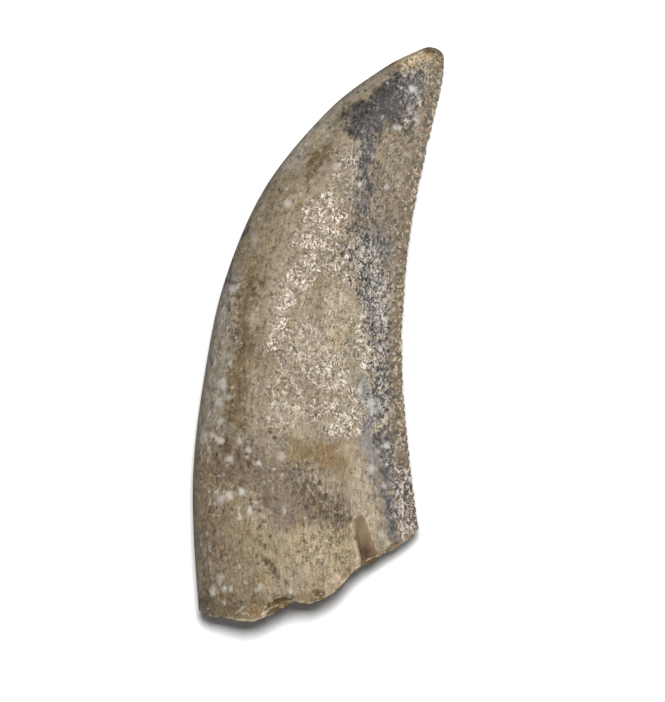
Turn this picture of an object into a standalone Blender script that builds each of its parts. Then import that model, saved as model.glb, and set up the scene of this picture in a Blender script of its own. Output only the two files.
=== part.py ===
"""Fossil theropod tooth: a single worn crown, snapped off at its base and lying on its side.

The crown is one solid. +X points to the serrated rear edge, +Y to the tip and +Z up, away from
the surface that the tooth lies on. The origin is at the middle of the box's underside.
"""

import math

import bmesh
import bpy
from mathutils import Matrix, Vector, noise
from mathutils.bvhtree import BVHTree

MM = 0.001

# Driving dimensions, in millimetres.
CROWN_LENGTH = 30.0
DENTICLE_PITCH = 0.42
DENTICLE_HEIGHT = 0.13
DENTICLE_FLAT = 0.27
CARINA_THICKNESS = 0.36
TIP_LIFT = 0.30
TIP_LIFT_START = 0.78

# How far each face stands off the plane of the cutting edges, as a share of the section's chord.
UPPER_BULGE_AT_BASE = 0.262
UPPER_BULGE_AT_TIP = 0.215
LOWER_BULGE_AT_BASE = 0.318
LOWER_BULGE_AT_TIP = 0.225

# The crest of each face, as shares of the way from the front edge to the rear edge. The lower
# face is flat between its two, and the crown lies on that band.
UPPER_CREST = (0.36, 0.36)
LOWER_CREST = (0.37, 0.54)
HOLLOW_GROUND_SHARE = 0.55
FRONT_ROUNDNESS = 2.2
REAR_FALL_POWER = 1.8

# The side outline on a crown 30 mm long: the blunt front edge going up, the worn tip, and the
# serrated rear edge coming down. The front edge starts and the rear edge ends at the broken base.
OUTLINE_LENGTH = 30.0
FRONT_EDGE = [
    (-6.26, -14.43), (-6.53, -10.40), (-6.53, -6.80), (-6.02, -2.50), (-4.98, 2.55),
    (-2.86, 7.55), (0.40, 11.60), (3.30, 13.86), (5.19, 14.84),
]
TIP = (5.86, 15.03)
REAR_EDGE = [
    (6.41, 14.79), (6.55, 14.30), (6.38, 12.96), (5.72, 10.20), (4.86, 6.10), (4.38, 1.80),
    (4.32, -2.20), (4.62, -5.90), (4.97, -8.80), (5.23, -10.20),
]

# How far the broken rim hangs below the straight line between the two edges, by the share of the
# way from the front edge to the rear edge.
UPPER_RIM_DROP = [
    (0.00, 0.00), (0.03, 0.45), (0.09, 0.78), (0.15, 1.25), (0.20, 1.47), (0.26, 1.52),
    (0.32, 1.42), (0.40, 1.32), (0.46, 1.68), (0.50, 1.72), (0.56, 1.60), (0.62, 1.25),
    (0.69, 0.76), (0.76, 0.60), (0.86, 0.57), (0.94, 0.32), (1.00, 0.00),
]
LOWER_RIM_DROP = [
    (0.00, 0.00), (0.12, 0.35), (0.25, 0.30), (0.38, 0.75), (0.52, 0.60), (0.66, 0.90),
    (0.80, 0.35), (0.92, 0.30), (1.00, 0.00),
]
RIM_REACH = 0.16

# The broken face: shares of the way from the rim to the middle, and how deep each ring is sunk.
FRACTURE_RINGS = [
    (0.06, 0.02), (0.16, 0.22), (0.30, 0.38), (0.45, 0.45), (0.60, 0.50), (0.72, 0.62),
    (0.80, 0.95), (0.88, 1.40),
]
FRACTURE_LEVELLING = 0.40
FRACTURE_ROUGHNESS = 0.34
FRACTURE_WAVES_PER_MM = 0.9
FRACTURE_RIM_FADE = 0.2
PULP_DEPTH = 1.55

# The slow swell of both faces and the quicker one on it, which die out at the edges, at the tip
# and on the band that the crown lies on.
SWELL = 0.035
SWELL_WAVES_PER_MM = 0.45
QUICK_SWELL_SHARE = 0.4
QUICK_SWELL_WAVES_PER_MM = 1.4
SWELL_STEP_BETWEEN_FACES = 4.0
SWELL_FULL_CHORD = 4.0
SWELL_FADE_BESIDE_BAND = 0.2

# Scooped chips along the rim: the share of the way along it from the front edge, the three radii,
# the turn about Z and how far the middle stands outside the rim and over the surface.
CHIPS = {
    "chip_front": (0.325, (0.98, 0.62, 0.48), 20.0, -0.02, 0.08),
    "chip_middle": (0.496, (0.50, 0.52, 0.40), 8.0, 0.04, 0.08),
    "chip_heel": (0.885, (0.62, 0.40, 0.45), 24.0, 0.16, 0.05),
}

# The flat spall that ran up from the rim: its narrow end, a place on its line outside the rim,
# the widths there, how high its bed starts over the surface and how deep it lies further on.
SPALL_TOP = (2.02, -9.25)
SPALL_FOOT = (2.86, -12.40)
SPALL_TOP_WIDTH = 0.62
SPALL_FOOT_WIDTH = 1.22
SPALL_RISE = 0.03
SPALL_DEPTH = 0.36
SPALL_INNER_SHARE = 0.65
SPALL_HEADROOM = 1.5

FRONT_COLUMNS = 9
CREST_COLUMNS = 2
REAR_COLUMNS = 11
CURVE_STEPS = 24
DENTICLE_FIRST_ROW = 2
MISSING_DENTICLES = (45,)
TIP_ROWS = (0.990, 0.9955, 0.9988)
SHARP_ANGLE = 35.0


def scaled(x, y):
    """A point of the 30 mm outline on a crown of the length in use."""
    return Vector((x, y)) * (CROWN_LENGTH / OUTLINE_LENGTH)


def catmull_rom(a, b, c, d, f):
    """The point at f between b and c on a smooth curve that passes through all four."""
    return 0.5 * (
        2 * b + (c - a) * f + (2 * a - 5 * b + 4 * c - d) * f * f + (3 * b - a - 3 * c + d) * f**3
    )


def smooth_curve(points):
    """A dense run of points on a smooth curve through the given ones."""
    ends = [2 * points[0] - points[1], *points, 2 * points[-1] - points[-2]]
    dense = [
        catmull_rom(*ends[i : i + 4], step / CURVE_STEPS)
        for i in range(len(points) - 1)
        for step in range(CURVE_STEPS)
    ]
    return [*dense, points[-1]]


def lengths_along(curve):
    """The distance from the start to each point of a curve."""
    total = [0.0]
    for before, after in zip(curve, curve[1:]):
        total.append(total[-1] + (after - before).length)
    return total


def point_at(curve, lengths, share):
    """The point at a share of a curve's length."""
    wanted = share * lengths[-1]
    for i in range(1, len(curve)):
        if lengths[i] >= wanted:
            f = (wanted - lengths[i - 1]) / max(lengths[i] - lengths[i - 1], 1e-9)
            return curve[i - 1].lerp(curve[i], f)
    return curve[-1].copy()


def from_table(table, x):
    """A value read from a table of (place, value), straight between its rows."""
    for (x0, y0), (x1, y1) in zip(table, table[1:]):
        if x <= x1:
            return y0 + (y1 - y0) * (x - x0) / (x1 - x0)
    return table[-1][1]


def blend(a, b, f):
    """The value at f on the way from a to b."""
    return a + (b - a) * f


def smoothstep(f):
    """A smooth rise from 0 to 1."""
    f = min(max(f, 0.0), 1.0)
    return f * f * (3 - 2 * f)


def arch(share):
    """0 at both ends and 1 in the middle."""
    return 4 * share * (1 - share)


def edge_curves():
    """The front and the rear edge, each from the base to the tip, as one curve cut at the tip."""
    corners = [*FRONT_EDGE, TIP, *REAR_EDGE]
    whole = smooth_curve([scaled(x, y) for x, y in corners])
    tip = len(FRONT_EDGE) * CURVE_STEPS
    return whole[: tip + 1], whole[tip:][::-1]


def face_height(share, crest, bulge):
    """Height of one face over the plane of the cutting edges: round in front, hollow-ground behind."""
    start, end = crest
    if share < start:
        return bulge * (1 - (1 - share / start) ** FRONT_ROUNDNESS) ** 0.5
    f = max(share - end, 0.0) / (1 - end)
    fall = blend(f**REAR_FALL_POWER, smoothstep(f), HOLLOW_GROUND_SHARE)
    edge = min(CARINA_THICKNESS / 2, 0.5 * bulge)
    return edge + (bulge - edge) * (1 - fall)


def column_shares(crest):
    """Places of the columns from the front edge to the rear edge, closer where the face curves."""
    start, end = crest
    quarter = math.pi / 2
    front = [start * (1 - math.cos(quarter * k / FRONT_COLUMNS)) for k in range(FRONT_COLUMNS)]
    flat = [blend(start, end, k / CREST_COLUMNS) for k in range(CREST_COLUMNS) if end > start]
    rear = [blend(end, 1.0, math.sin(quarter * k / REAR_COLUMNS)) for k in range(REAR_COLUMNS)]
    return [*front, *flat, *rear, 1.0]


def unevenness(point):
    """A slow swell of the surface, the same on every run."""
    slow = noise.noise(point * SWELL_WAVES_PER_MM)
    quick = noise.noise(point * QUICK_SWELL_WAVES_PER_MM)
    return SWELL * (slow + QUICK_SWELL_SHARE * quick)


class Crown:
    """The crown's surface, as rows across it from the broken rim to the tip."""

    def __init__(self):
        self.front, self.rear = edge_curves()
        self.front_lengths = lengths_along(self.front)
        self.rear_lengths = lengths_along(self.rear)
        upper = column_shares(UPPER_CREST)
        lower = column_shares(LOWER_CREST)
        self.columns = [(u, 1) for u in reversed(upper)] + [(u, -1) for u in lower[1:]]
        across = self.rear[0] - self.front[0]
        self.base_down = Vector((across.y, -across.x)).normalized()

    def row_shares(self):
        """Places of the rows from the rim to the tip: one for each denticle, then the worn tip."""
        count = round(self.rear_lengths[-1] / DENTICLE_PITCH)
        return [*(i / count for i in range(count - 1)), *TIP_ROWS]

    def point(self, along, share, side):
        """The surface point at these shares of the way to the tip and to the rear edge."""
        front = point_at(self.front, self.front_lengths, along)
        rear = point_at(self.rear, self.rear_lengths, along)
        chord = (rear - front).length
        upper = chord * blend(UPPER_BULGE_AT_BASE, UPPER_BULGE_AT_TIP, along)
        lower = chord * blend(LOWER_BULGE_AT_BASE, LOWER_BULGE_AT_TIP, along)
        lift = TIP_LIFT * smoothstep((along - TIP_LIFT_START) / (1 - TIP_LIFT_START))
        flat = front.lerp(rear, share)
        flat += self.base_down * self.rim_drop(along, share, side)
        if side > 0:
            height = face_height(share, UPPER_CREST, upper)
        else:
            height = -face_height(share, LOWER_CREST, lower)
        swell = unevenness(Vector((flat.x, flat.y, SWELL_STEP_BETWEEN_FACES * side)))
        fade = self.swell_room(share, side) * min(1.0, chord / SWELL_FULL_CHORD)
        return Vector((flat.x, flat.y, lower + lift + height + side * swell * fade))

    def swell_room(self, share, side):
        """How freely the surface may swell: not at the edges, nor on the band it lies on."""
        if side > 0:
            return arch(share)
        start, end = LOWER_CREST
        outside = max(start - share, share - end, 0.0)
        return arch(share) * min(1.0, outside / SWELL_FADE_BESIDE_BAND)

    def rim_drop(self, along, share, side):
        """How far the broken rim pulls the surface down at this place."""
        table = UPPER_RIM_DROP if side > 0 else LOWER_RIM_DROP
        pull = max(0.0, 1 - along / RIM_REACH) ** 2
        return from_table(table, share) * pull

    def row(self, along):
        """One row of surface points, round the section."""
        return [self.point(along, share, side) for share, side in self.columns]


def fracture_row(rim, middle, inward, share, depth):
    """One ring of the broken face: the rim's own unevenness dies out on the way to the middle."""
    ring = []
    for point in rim:
        place = point.lerp(middle, share)
        uneven = (place - middle).dot(inward) * smoothstep(share / FRACTURE_LEVELLING)
        rough = FRACTURE_ROUGHNESS * noise.noise(place * FRACTURE_WAVES_PER_MM)
        rough *= min(1.0, share / FRACTURE_RIM_FADE)
        ring.append(place + inward * (depth + rough - uneven))
    return ring


def bridge(bm, first, second):
    """Quads between two rings of the same number of vertices."""
    count = len(first)
    return [
        bm.faces.new((first[k], first[(k + 1) % count], second[(k + 1) % count], second[k]))
        for k in range(count)
    ]


def close_ring(bm, ring, apex, outward):
    """A fan of triangles from a ring to one vertex."""
    count = len(ring)
    for k in range(count):
        corners = (ring[k], ring[(k + 1) % count], apex)
        bm.faces.new(corners if outward else corners[::-1])


def raise_denticle(bm, strip, outward):
    """Insets the strip of faces that wraps the rear edge and pulls its edge out as one denticle."""
    rim_width = (DENTICLE_PITCH - DENTICLE_FLAT) / 2 * MM
    bmesh.ops.inset_region(bm, faces=strip, thickness=rim_width, depth=0.0, use_even_offset=True)
    crest = strip[1]
    bmesh.ops.translate(bm, verts=list(crest.verts), vec=outward * DENTICLE_HEIGHT * MM)


def crown_mesh(crown):
    """The whole tooth as one closed mesh, in metres."""
    bm = bmesh.new()
    shares = crown.row_shares()
    rows = [crown.row(along) for along in shares]
    rings = [[bm.verts.new(p * MM) for p in row] for row in rows]
    last = len(crown.columns) - 1
    strips = []
    for i in range(len(rings) - 1):
        faces = bridge(bm, rings[i], rings[i + 1])
        outward = (rows[i][0] - rows[i][len(crown.columns) // 2]).normalized()
        strips.append(([faces[0], faces[last], faces[last - 1]], outward))
    tip = crown.point(1.0, 0.5, 1)
    close_ring(bm, rings[-1], bm.verts.new(tip * MM), True)

    inward = -crown.base_down.to_3d()
    middle = sum(rows[0], Vector()) / len(rows[0])
    outer = rings[0]
    for share, depth in FRACTURE_RINGS:
        points = fracture_row(rows[0], middle, inward, share, depth)
        inner = [bm.verts.new(p * MM) for p in points]
        bridge(bm, inner, outer)
        outer = inner
    pulp = bm.verts.new((middle + inward * PULP_DEPTH) * MM)
    close_ring(bm, outer, pulp, False)

    for i, (strip, outward) in enumerate(strips[: -len(TIP_ROWS) - 1]):
        if i >= DENTICLE_FIRST_ROW and i not in MISSING_DENTICLES:
            raise_denticle(bm, strip, outward)
    bmesh.ops.recalc_face_normals(bm, faces=bm.faces)
    bmesh.ops.triangulate(bm, faces=bm.faces)
    mesh = bpy.data.meshes.new("tooth")
    bm.to_mesh(mesh)
    bm.free()
    mesh.shade_smooth()
    mesh.set_sharp_from_angle(angle=math.radians(SHARP_ANGLE))
    return mesh


def add_cutter(tooth, name, bm):
    """Makes a hidden object of a cutting shape, given in millimetres, and cuts it out of the tooth."""
    bmesh.ops.transform(bm, matrix=Matrix.Scale(MM, 4), verts=bm.verts)
    mesh = bpy.data.meshes.new(name)
    bm.to_mesh(mesh)
    bm.free()
    cutter = bpy.data.objects.new(name, mesh)
    cutter.hide_render = True
    cutter.display_type = "WIRE"
    bpy.context.scene.collection.objects.link(cutter)
    cut = tooth.modifiers.new(name, "BOOLEAN")
    cut.operation = "DIFFERENCE"
    cut.solver = "EXACT"
    cut.object = cutter


def pebble(middle, radii, turn):
    """The rounded shape of a flake that left a scooped chip."""
    bm = bmesh.new()
    bmesh.ops.create_icosphere(bm, subdivisions=3, radius=1.0)
    size = Matrix.Rotation(math.radians(turn), 4, "Z") @ Matrix.Diagonal((*radii, 1.0))
    bmesh.ops.transform(bm, matrix=Matrix.Translation(middle) @ size, verts=bm.verts)
    return bm


def height_over(surface, place):
    """The height in millimetres of the upper face over a place on the plane it lies on."""
    above = Vector((place.x, place.y, CROWN_LENGTH)) * MM
    return surface.ray_cast(above, Vector((0, 0, -1)))[0].z / MM


def spall_edge(surface, side):
    """The two ends of one long edge of the spall's bed, which sinks under the surface on its way."""
    top, foot = Vector(SPALL_TOP), Vector(SPALL_FOOT)
    aside = (foot - top).normalized().orthogonal() * side / 2
    start = top + aside * SPALL_TOP_WIDTH
    end = foot + aside * SPALL_FOOT_WIDTH
    start_height = height_over(surface, start) + SPALL_RISE
    inner_height = height_over(surface, start.lerp(end, SPALL_INNER_SHARE)) - SPALL_DEPTH
    fall = (inner_height - start_height) / SPALL_INNER_SHARE
    return Vector((*start, start_height)), Vector((*end, start_height + fall))


def splinter(surface):
    """The flat, widening shape of the splinter that left the spall."""
    bed = [*spall_edge(surface, 1), *reversed(spall_edge(surface, -1))]
    bm = bmesh.new()
    floor = bm.faces.new([bm.verts.new(corner) for corner in bed])
    raised = bmesh.ops.extrude_face_region(bm, geom=[floor], use_keep_orig=True)["geom"]
    top = [item for item in raised if isinstance(item, bmesh.types.BMVert)]
    bmesh.ops.translate(bm, verts=top, vec=(0, 0, SPALL_HEADROOM))
    bmesh.ops.recalc_face_normals(bm, faces=bm.faces)
    return bm


def enamel_material():
    """Mottled tan fossil enamel, satin and not metallic."""
    material = bpy.data.materials.new("fossil_enamel")
    material.use_nodes = True
    shader = material.node_tree.nodes["Principled BSDF"]
    shader.inputs["Base Color"].default_value = (0.30, 0.23, 0.155, 1.0)
    shader.inputs["Roughness"].default_value = 0.45
    shader.inputs["Metallic"].default_value = 0.0
    return material


def main():
    """Clears the scene, builds the tooth and cuts its chips."""
    for old in list(bpy.data.objects):
        bpy.data.objects.remove(old)
    crown = Crown()
    tooth = bpy.data.objects.new("tooth", crown_mesh(crown))
    tooth.data.materials.append(enamel_material())
    bpy.context.scene.collection.objects.link(tooth)
    corners = [vert.co for vert in tooth.data.vertices]
    surface = BVHTree.FromPolygons(corners, [face.vertices for face in tooth.data.polygons])
    add_cutter(tooth, "chip_spall", splinter(surface))
    for name, (share, radii, turn, outside, over) in CHIPS.items():
        rim = crown.point(0.0, share, 1)
        middle = rim + crown.base_down.to_3d() * outside + Vector((0, 0, over))
        add_cutter(tooth, name, pebble(middle, radii, turn))


main()
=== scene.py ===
"""Looks of a fossil theropod tooth that lies on its side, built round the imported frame.

The crown is one piece: a fine surface over the frame's solid, with its denticles, chips, pits and
cracks in the mesh and its mottled, glossy enamel in one material. Sizes are in millimetres until
a mesh is made, and x, y and z are the frame's own.
"""

import logging
import math
from collections.abc import Callable, Sequence
from dataclasses import dataclass, field
from enum import Enum
from typing import Any

import bpy
import numpy as np
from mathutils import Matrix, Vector, noise


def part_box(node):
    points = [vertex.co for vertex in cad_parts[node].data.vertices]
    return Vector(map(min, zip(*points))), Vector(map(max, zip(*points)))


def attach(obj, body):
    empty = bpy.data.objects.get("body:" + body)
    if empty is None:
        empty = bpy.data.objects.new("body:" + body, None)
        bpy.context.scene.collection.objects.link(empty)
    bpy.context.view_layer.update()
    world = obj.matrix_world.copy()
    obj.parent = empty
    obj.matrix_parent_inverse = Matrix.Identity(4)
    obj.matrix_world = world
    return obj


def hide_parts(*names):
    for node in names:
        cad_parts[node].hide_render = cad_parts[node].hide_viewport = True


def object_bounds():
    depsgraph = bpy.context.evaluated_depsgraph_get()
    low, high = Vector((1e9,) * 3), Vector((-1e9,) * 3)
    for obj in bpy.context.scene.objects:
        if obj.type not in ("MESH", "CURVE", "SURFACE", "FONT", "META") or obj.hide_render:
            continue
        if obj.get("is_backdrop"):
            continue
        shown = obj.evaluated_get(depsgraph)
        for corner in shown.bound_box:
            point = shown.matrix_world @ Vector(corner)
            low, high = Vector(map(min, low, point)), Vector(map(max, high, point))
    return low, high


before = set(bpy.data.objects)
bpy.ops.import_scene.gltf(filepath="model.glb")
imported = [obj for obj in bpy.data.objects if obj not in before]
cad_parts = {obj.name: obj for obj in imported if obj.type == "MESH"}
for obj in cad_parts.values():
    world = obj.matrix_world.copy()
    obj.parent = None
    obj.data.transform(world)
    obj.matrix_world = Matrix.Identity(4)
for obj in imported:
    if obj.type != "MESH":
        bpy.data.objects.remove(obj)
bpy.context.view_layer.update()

MM = 0.001
NODE = "tooth"
DENTICLE_PITCH = 0.42
log = logging.getLogger("fossil_tooth")

Point = tuple[float, float]
Triple = tuple[float, float, float]


def each(kind: Callable[..., Any], *rows: tuple[Any, ...]) -> tuple[Any, ...]:
    """One object of a kind for each row of its values.

    Args:
        kind: The class.
        *rows: The values of each object, in the order of the class's fields.

    Returns:
        The objects.
    """
    return tuple(kind(*row) for row in rows)


def smoothstep(low: float, high: float, value: np.ndarray) -> np.ndarray:
    """A smooth rise from 0 at low to 1 at high.

    Args:
        low: Where the rise starts.
        high: Where it ends, which may be under low for a fall.
        value: The numbers to put through it.

    Returns:
        Numbers from 0 to 1.
    """
    share = np.clip((value - low) / (high - low), 0.0, 1.0)
    return share * share * (3 - 2 * share)


def noise_field(points: np.ndarray, scale: float, shift: float = 0.0) -> np.ndarray:
    """Smooth noise at each point, the same on every run.

    Args:
        points: Places in millimetres, with x, y and z on the last axis.
        scale: Waves for each millimetre, roughly.
        shift: Moves to another part of the noise.

    Returns:
        Numbers from about -1 to 1, one for each point.
    """
    flat = points.reshape(-1, 3) * scale + shift
    values = [noise.noise(Vector(place)) for place in flat.tolist()]
    return np.array(values).reshape(points.shape[:-1])


def layered(points: np.ndarray, *layers: Triple) -> np.ndarray:
    """Several noises added together.

    Args:
        points: Places in millimetres.
        *layers: The scale, shift and weight of each noise.

    Returns:
        One number for each point.
    """
    return sum(weight * noise_field(points, scale, shift) for scale, shift, weight in layers)


@dataclass
class Edge:
    """One long edge of the crown, as a curve from the broken base to the tip."""

    points: np.ndarray
    lengths: np.ndarray = field(init=False)

    def __post_init__(self) -> None:
        """Measures the curve."""
        steps = np.linalg.norm(np.diff(self.points, axis=0), axis=1)
        self.lengths = np.concatenate([[0.0], np.cumsum(steps)])

    @property
    def length(self) -> float:
        """The curve's whole length."""
        return float(self.lengths[-1])

    def at(self, share: np.ndarray) -> np.ndarray:
        """Points at shares of the curve's length.

        Args:
            share: Shares from 0 at the base to 1 at the tip.

        Returns:
            x and y of each point.
        """
        wanted = share * self.length
        return np.stack([np.interp(wanted, self.lengths, self.points[:, k]) for k in (0, 1)], -1)


@dataclass
class CrownForm:
    """The crown's main form: two edges, and the section that swells between them.

    Its sizes are those of the frame's solid, which is outline_length long before it is scaled.
    """

    length: float
    outline_length: float = 30.0
    front_edge: tuple[Point, ...] = (
        (-6.26, -14.43), (-6.53, -10.40), (-6.53, -6.80), (-6.02, -2.50), (-4.98, 2.55),
        (-2.86, 7.55), (0.40, 11.60), (3.30, 13.86), (5.19, 14.84),
    )
    tip: Point = (5.86, 15.03)
    rear_edge: tuple[Point, ...] = (
        (6.41, 14.79), (6.55, 14.30), (6.38, 12.96), (5.72, 10.20), (4.86, 6.10), (4.38, 1.80),
        (4.32, -2.20), (4.62, -5.90), (4.97, -8.80), (5.23, -10.20),
    )
    upper_rim_drop: tuple[Point, ...] = (
        (0.00, 0.00), (0.03, 0.45), (0.09, 0.78), (0.15, 1.25), (0.20, 1.47), (0.26, 1.52),
        (0.32, 1.42), (0.40, 1.32), (0.46, 1.68), (0.50, 1.72), (0.56, 1.60), (0.62, 1.25),
        (0.69, 0.76), (0.76, 0.60), (0.86, 0.57), (0.94, 0.32), (1.00, 0.00),
    )
    lower_rim_drop: tuple[Point, ...] = (
        (0.00, 0.00), (0.12, 0.35), (0.25, 0.30), (0.38, 0.75), (0.52, 0.60), (0.66, 0.90),
        (0.80, 0.35), (0.92, 0.30), (1.00, 0.00),
    )
    rim_reach: float = 0.16
    rim_raggedness: float = 0.11
    rim_noise: tuple[Triple, ...] = ((1.3, 5.0, 1.0), (3.1, 9.0, 0.6))
    rim_fade: float = 0.5
    upper_bulge: Point = (0.262, 0.215)
    lower_bulge: Point = (0.318, 0.225)
    upper_crest: Point = (0.36, 0.36)
    lower_crest: Point = (0.37, 0.54)
    hollow_ground_share: float = 0.55
    carina_thickness: float = 0.36
    tip_lift: float = 0.30
    tip_lift_start: float = 0.78
    unevenness: float = 0.035
    swell_noise: tuple[Triple, ...] = ((0.45, 0.0, 1.0), (1.4, 0.0, 0.4))
    curve_steps: int = 24

    def __post_init__(self) -> None:
        """Draws the outline and cuts it at the tip."""
        corners = np.array([*self.front_edge, self.tip, *self.rear_edge])
        corners *= self.length / self.outline_length
        whole = self._smooth(corners)
        cut = len(self.front_edge) * self.curve_steps
        self.front = Edge(whole[: cut + 1])
        self.rear = Edge(whole[cut:][::-1])
        across = self.rear.points[0] - self.front.points[0]
        self.down = np.array([across[1], -across[0]]) / np.linalg.norm(across)

    def _smooth(self, corners: np.ndarray) -> np.ndarray:
        """A dense curve that passes through every corner.

        Args:
            corners: The outline's own points.

        Returns:
            The points of the smooth curve.
        """
        ends = np.vstack([2 * corners[0] - corners[1], corners, 2 * corners[-1] - corners[-2]])
        f = (np.arange(self.curve_steps) / self.curve_steps)[:, None]
        runs = []
        for a, b, c, d in zip(ends, ends[1:], ends[2:], ends[3:]):
            bend = 2 * a - 5 * b + 4 * c - d
            runs.append(0.5 * (2 * b + (c - a) * f + bend * f**2 + (3 * b - a - 3 * c + d) * f**3))
        return np.vstack([*runs, corners[-1:]])

    def _face(self, share: np.ndarray, crest: Point, bulge: np.ndarray) -> np.ndarray:
        """How far one face stands off the plane of the edges.

        Args:
            share: Shares of the way from the front edge to the rear edge.
            crest: Where the face is highest, from one share to another.
            bulge: Its height there.

        Returns:
            Heights: round in front of the crest and hollow-ground behind it.
        """
        start, end = crest
        rise = (1 - np.clip(1 - share / start, 0, 1) ** 2.2) ** 0.5
        f = np.clip((share - end) / (1 - end), 0, 1)
        fall = f**1.8 + (smoothstep(0, 1, f) - f**1.8) * self.hollow_ground_share
        edge = np.minimum(self.carina_thickness / 2, bulge / 2)
        return np.where(share < start, bulge * rise, edge + (bulge - edge) * (1 - fall))

    def surface(self, along: np.ndarray, share: np.ndarray, side: np.ndarray) -> dict[str, np.ndarray]:
        """Points of the bare form, with what the relief and the finish read.

        Args:
            along: Shares of the way from the base to the tip, one for each row.
            share: Shares of the way from the front edge to the rear edge, one for each column.
            side: 1 on the upper face, -1 on the lower one, and between them across the rear edge.

        Returns:
            Arrays of rows by columns: place, chord, edge distance and how far up the section.
        """
        a, u = along[:, None], share[None, :] * np.ones((len(along), 1))
        front, rear = self.front.at(along)[:, None, :], self.rear.at(along)[:, None, :]
        chord = np.linalg.norm(rear - front, axis=2) * np.ones_like(u)
        upper = chord * (self.upper_bulge[0] + (self.upper_bulge[1] - self.upper_bulge[0]) * a)
        lower = chord * (self.lower_bulge[0] + (self.lower_bulge[1] - self.lower_bulge[0]) * a)
        top = self._face(u, self.upper_crest, upper)
        bottom = -self._face(u, self.lower_crest, lower)
        height = bottom + (top - bottom) * (side[None, :] + 1) / 2
        flat = front + (rear - front) * u[..., None]
        drop = np.where(
            side > 0,
            np.interp(share, *np.array(self.upper_rim_drop).T),
            np.interp(share, *np.array(self.lower_rim_drop).T),
        )
        pull = np.clip(1 - a / self.rim_reach, 0, 1) ** 2
        flat = flat + (drop * pull)[..., None] * self.down
        flat = flat + (self._ragged(flat, self.length * a) * u * (1 - u) * 4)[..., None] * self.down
        faces = np.where(side[None, :] >= 0, 1.0, -1.0) * np.ones_like(u)
        swell = self._swell(flat, faces) * self._swell_room(u, side) * np.minimum(1, chord / 4)
        lift = self.tip_lift * smoothstep(self.tip_lift_start, 1, a)
        z = lower + lift + height + faces * swell
        return {
            "place": np.concatenate([flat, z[..., None]], -1),
            "chord": chord,
            "edge_mm": (1 - u) * chord,
            "upness": np.clip(0.5 + height / (0.5 * upper + 0.01), 0, 1),
        }

    def _ragged(self, flat: np.ndarray, reach: np.ndarray) -> np.ndarray:
        """Small bites and teeth of the broken rim, which die out just behind it."""
        level = np.concatenate([flat, np.zeros((*flat.shape[:-1], 1))], -1)
        bites = layered(level[:1], *self.rim_noise)
        return self.rim_raggedness * bites * np.exp(-reach / self.rim_fade)

    def _swell(self, flat: np.ndarray, faces: np.ndarray) -> np.ndarray:
        """The slow unevenness that the frame's solid has as well."""
        place = np.concatenate([flat, 4 * faces[..., None]], -1)
        return self.unevenness * layered(place, *self.swell_noise)

    def _swell_room(self, u: np.ndarray, side: np.ndarray) -> np.ndarray:
        """How freely the surface may swell: not at the edges, nor on the band it lies on."""
        room = np.minimum(1, 4 * u * (1 - u))
        start, end = self.lower_crest
        outside = np.maximum(np.maximum(start - u, u - end), 0)
        return np.where(side[None, :] > 0, room, room * np.minimum(1, 5 * outside))


@dataclass
class Scoop:
    """A shell-shaped chip out of the rim: where its middle is, its radii and its turn."""

    share: float
    radii: Triple
    turn: float
    outside: float
    over: float

    def bed(self, place: np.ndarray, middle: np.ndarray) -> tuple[np.ndarray, np.ndarray]:
        """The scooped bed under each place.

        Args:
            place: Surface points.
            middle: The middle of the scoop.

        Returns:
            The bed's height at each point, and whether the point is over it.
        """
        turn = math.radians(self.turn)
        off = place - middle
        x = (off[..., 0] * math.cos(turn) + off[..., 1] * math.sin(turn)) / self.radii[0]
        y = (off[..., 1] * math.cos(turn) - off[..., 0] * math.sin(turn)) / self.radii[1]
        q = x**2 + y**2
        bed = middle[2] - self.radii[2] * np.sqrt(np.clip(1 - q, 0, 1))
        return bed, q < 1


@dataclass
class Spall:
    """A flat splinter's scar that widens and deepens towards the rim."""

    top: Point = (2.02, -9.25)
    foot: Point = (2.86, -12.40)
    top_width: float = 0.62
    foot_width: float = 1.22
    rise: float = 0.03
    depth: float = 0.36
    inner_share: float = 0.65
    wall: float = 0.10

    def carve(self, place: np.ndarray) -> np.ndarray:
        """How deep the scar lies under each place of the upper face.

        Args:
            place: Surface points.

        Returns:
            Depths in millimetres, 0 outside the scar.
        """
        top, foot = np.array(self.top), np.array(self.foot)
        line = foot - top
        span = float(np.linalg.norm(line))
        way = line / span
        off = place[..., :2] - top
        f = (off @ way) / span
        aside = off @ np.array([-way[1], way[0]])
        half = (self.top_width + (self.foot_width - self.top_width) * f) / 2
        inside = smoothstep(0, self.wall, half - np.abs(aside))
        depth = (self.depth + self.rise) * f / self.inner_share - self.rise
        return np.where((f > 0) & (f < 1.2), np.maximum(depth, 0) * inside, 0.0)


@dataclass
class Pit:
    """A small uneven hole in the upper face: where it is, how wide, how deep and how long."""

    x: float
    y: float
    radius: float
    depth: float
    stretch: float = 1.4

    def hole(self, place: np.ndarray, uneven: np.ndarray) -> np.ndarray:
        """How far the hole is open at each place.

        Args:
            place: Surface points.
            uneven: Noise around 0 that makes its rim ragged.

        Returns:
            Numbers from 0 outside it to 1 at its bottom.
        """
        gap = np.hypot(place[..., 0] - self.x, (place[..., 1] - self.y) / self.stretch)
        return smoothstep(self.radius, 0.3 * self.radius, gap + 0.6 * self.radius * uneven)


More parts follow.
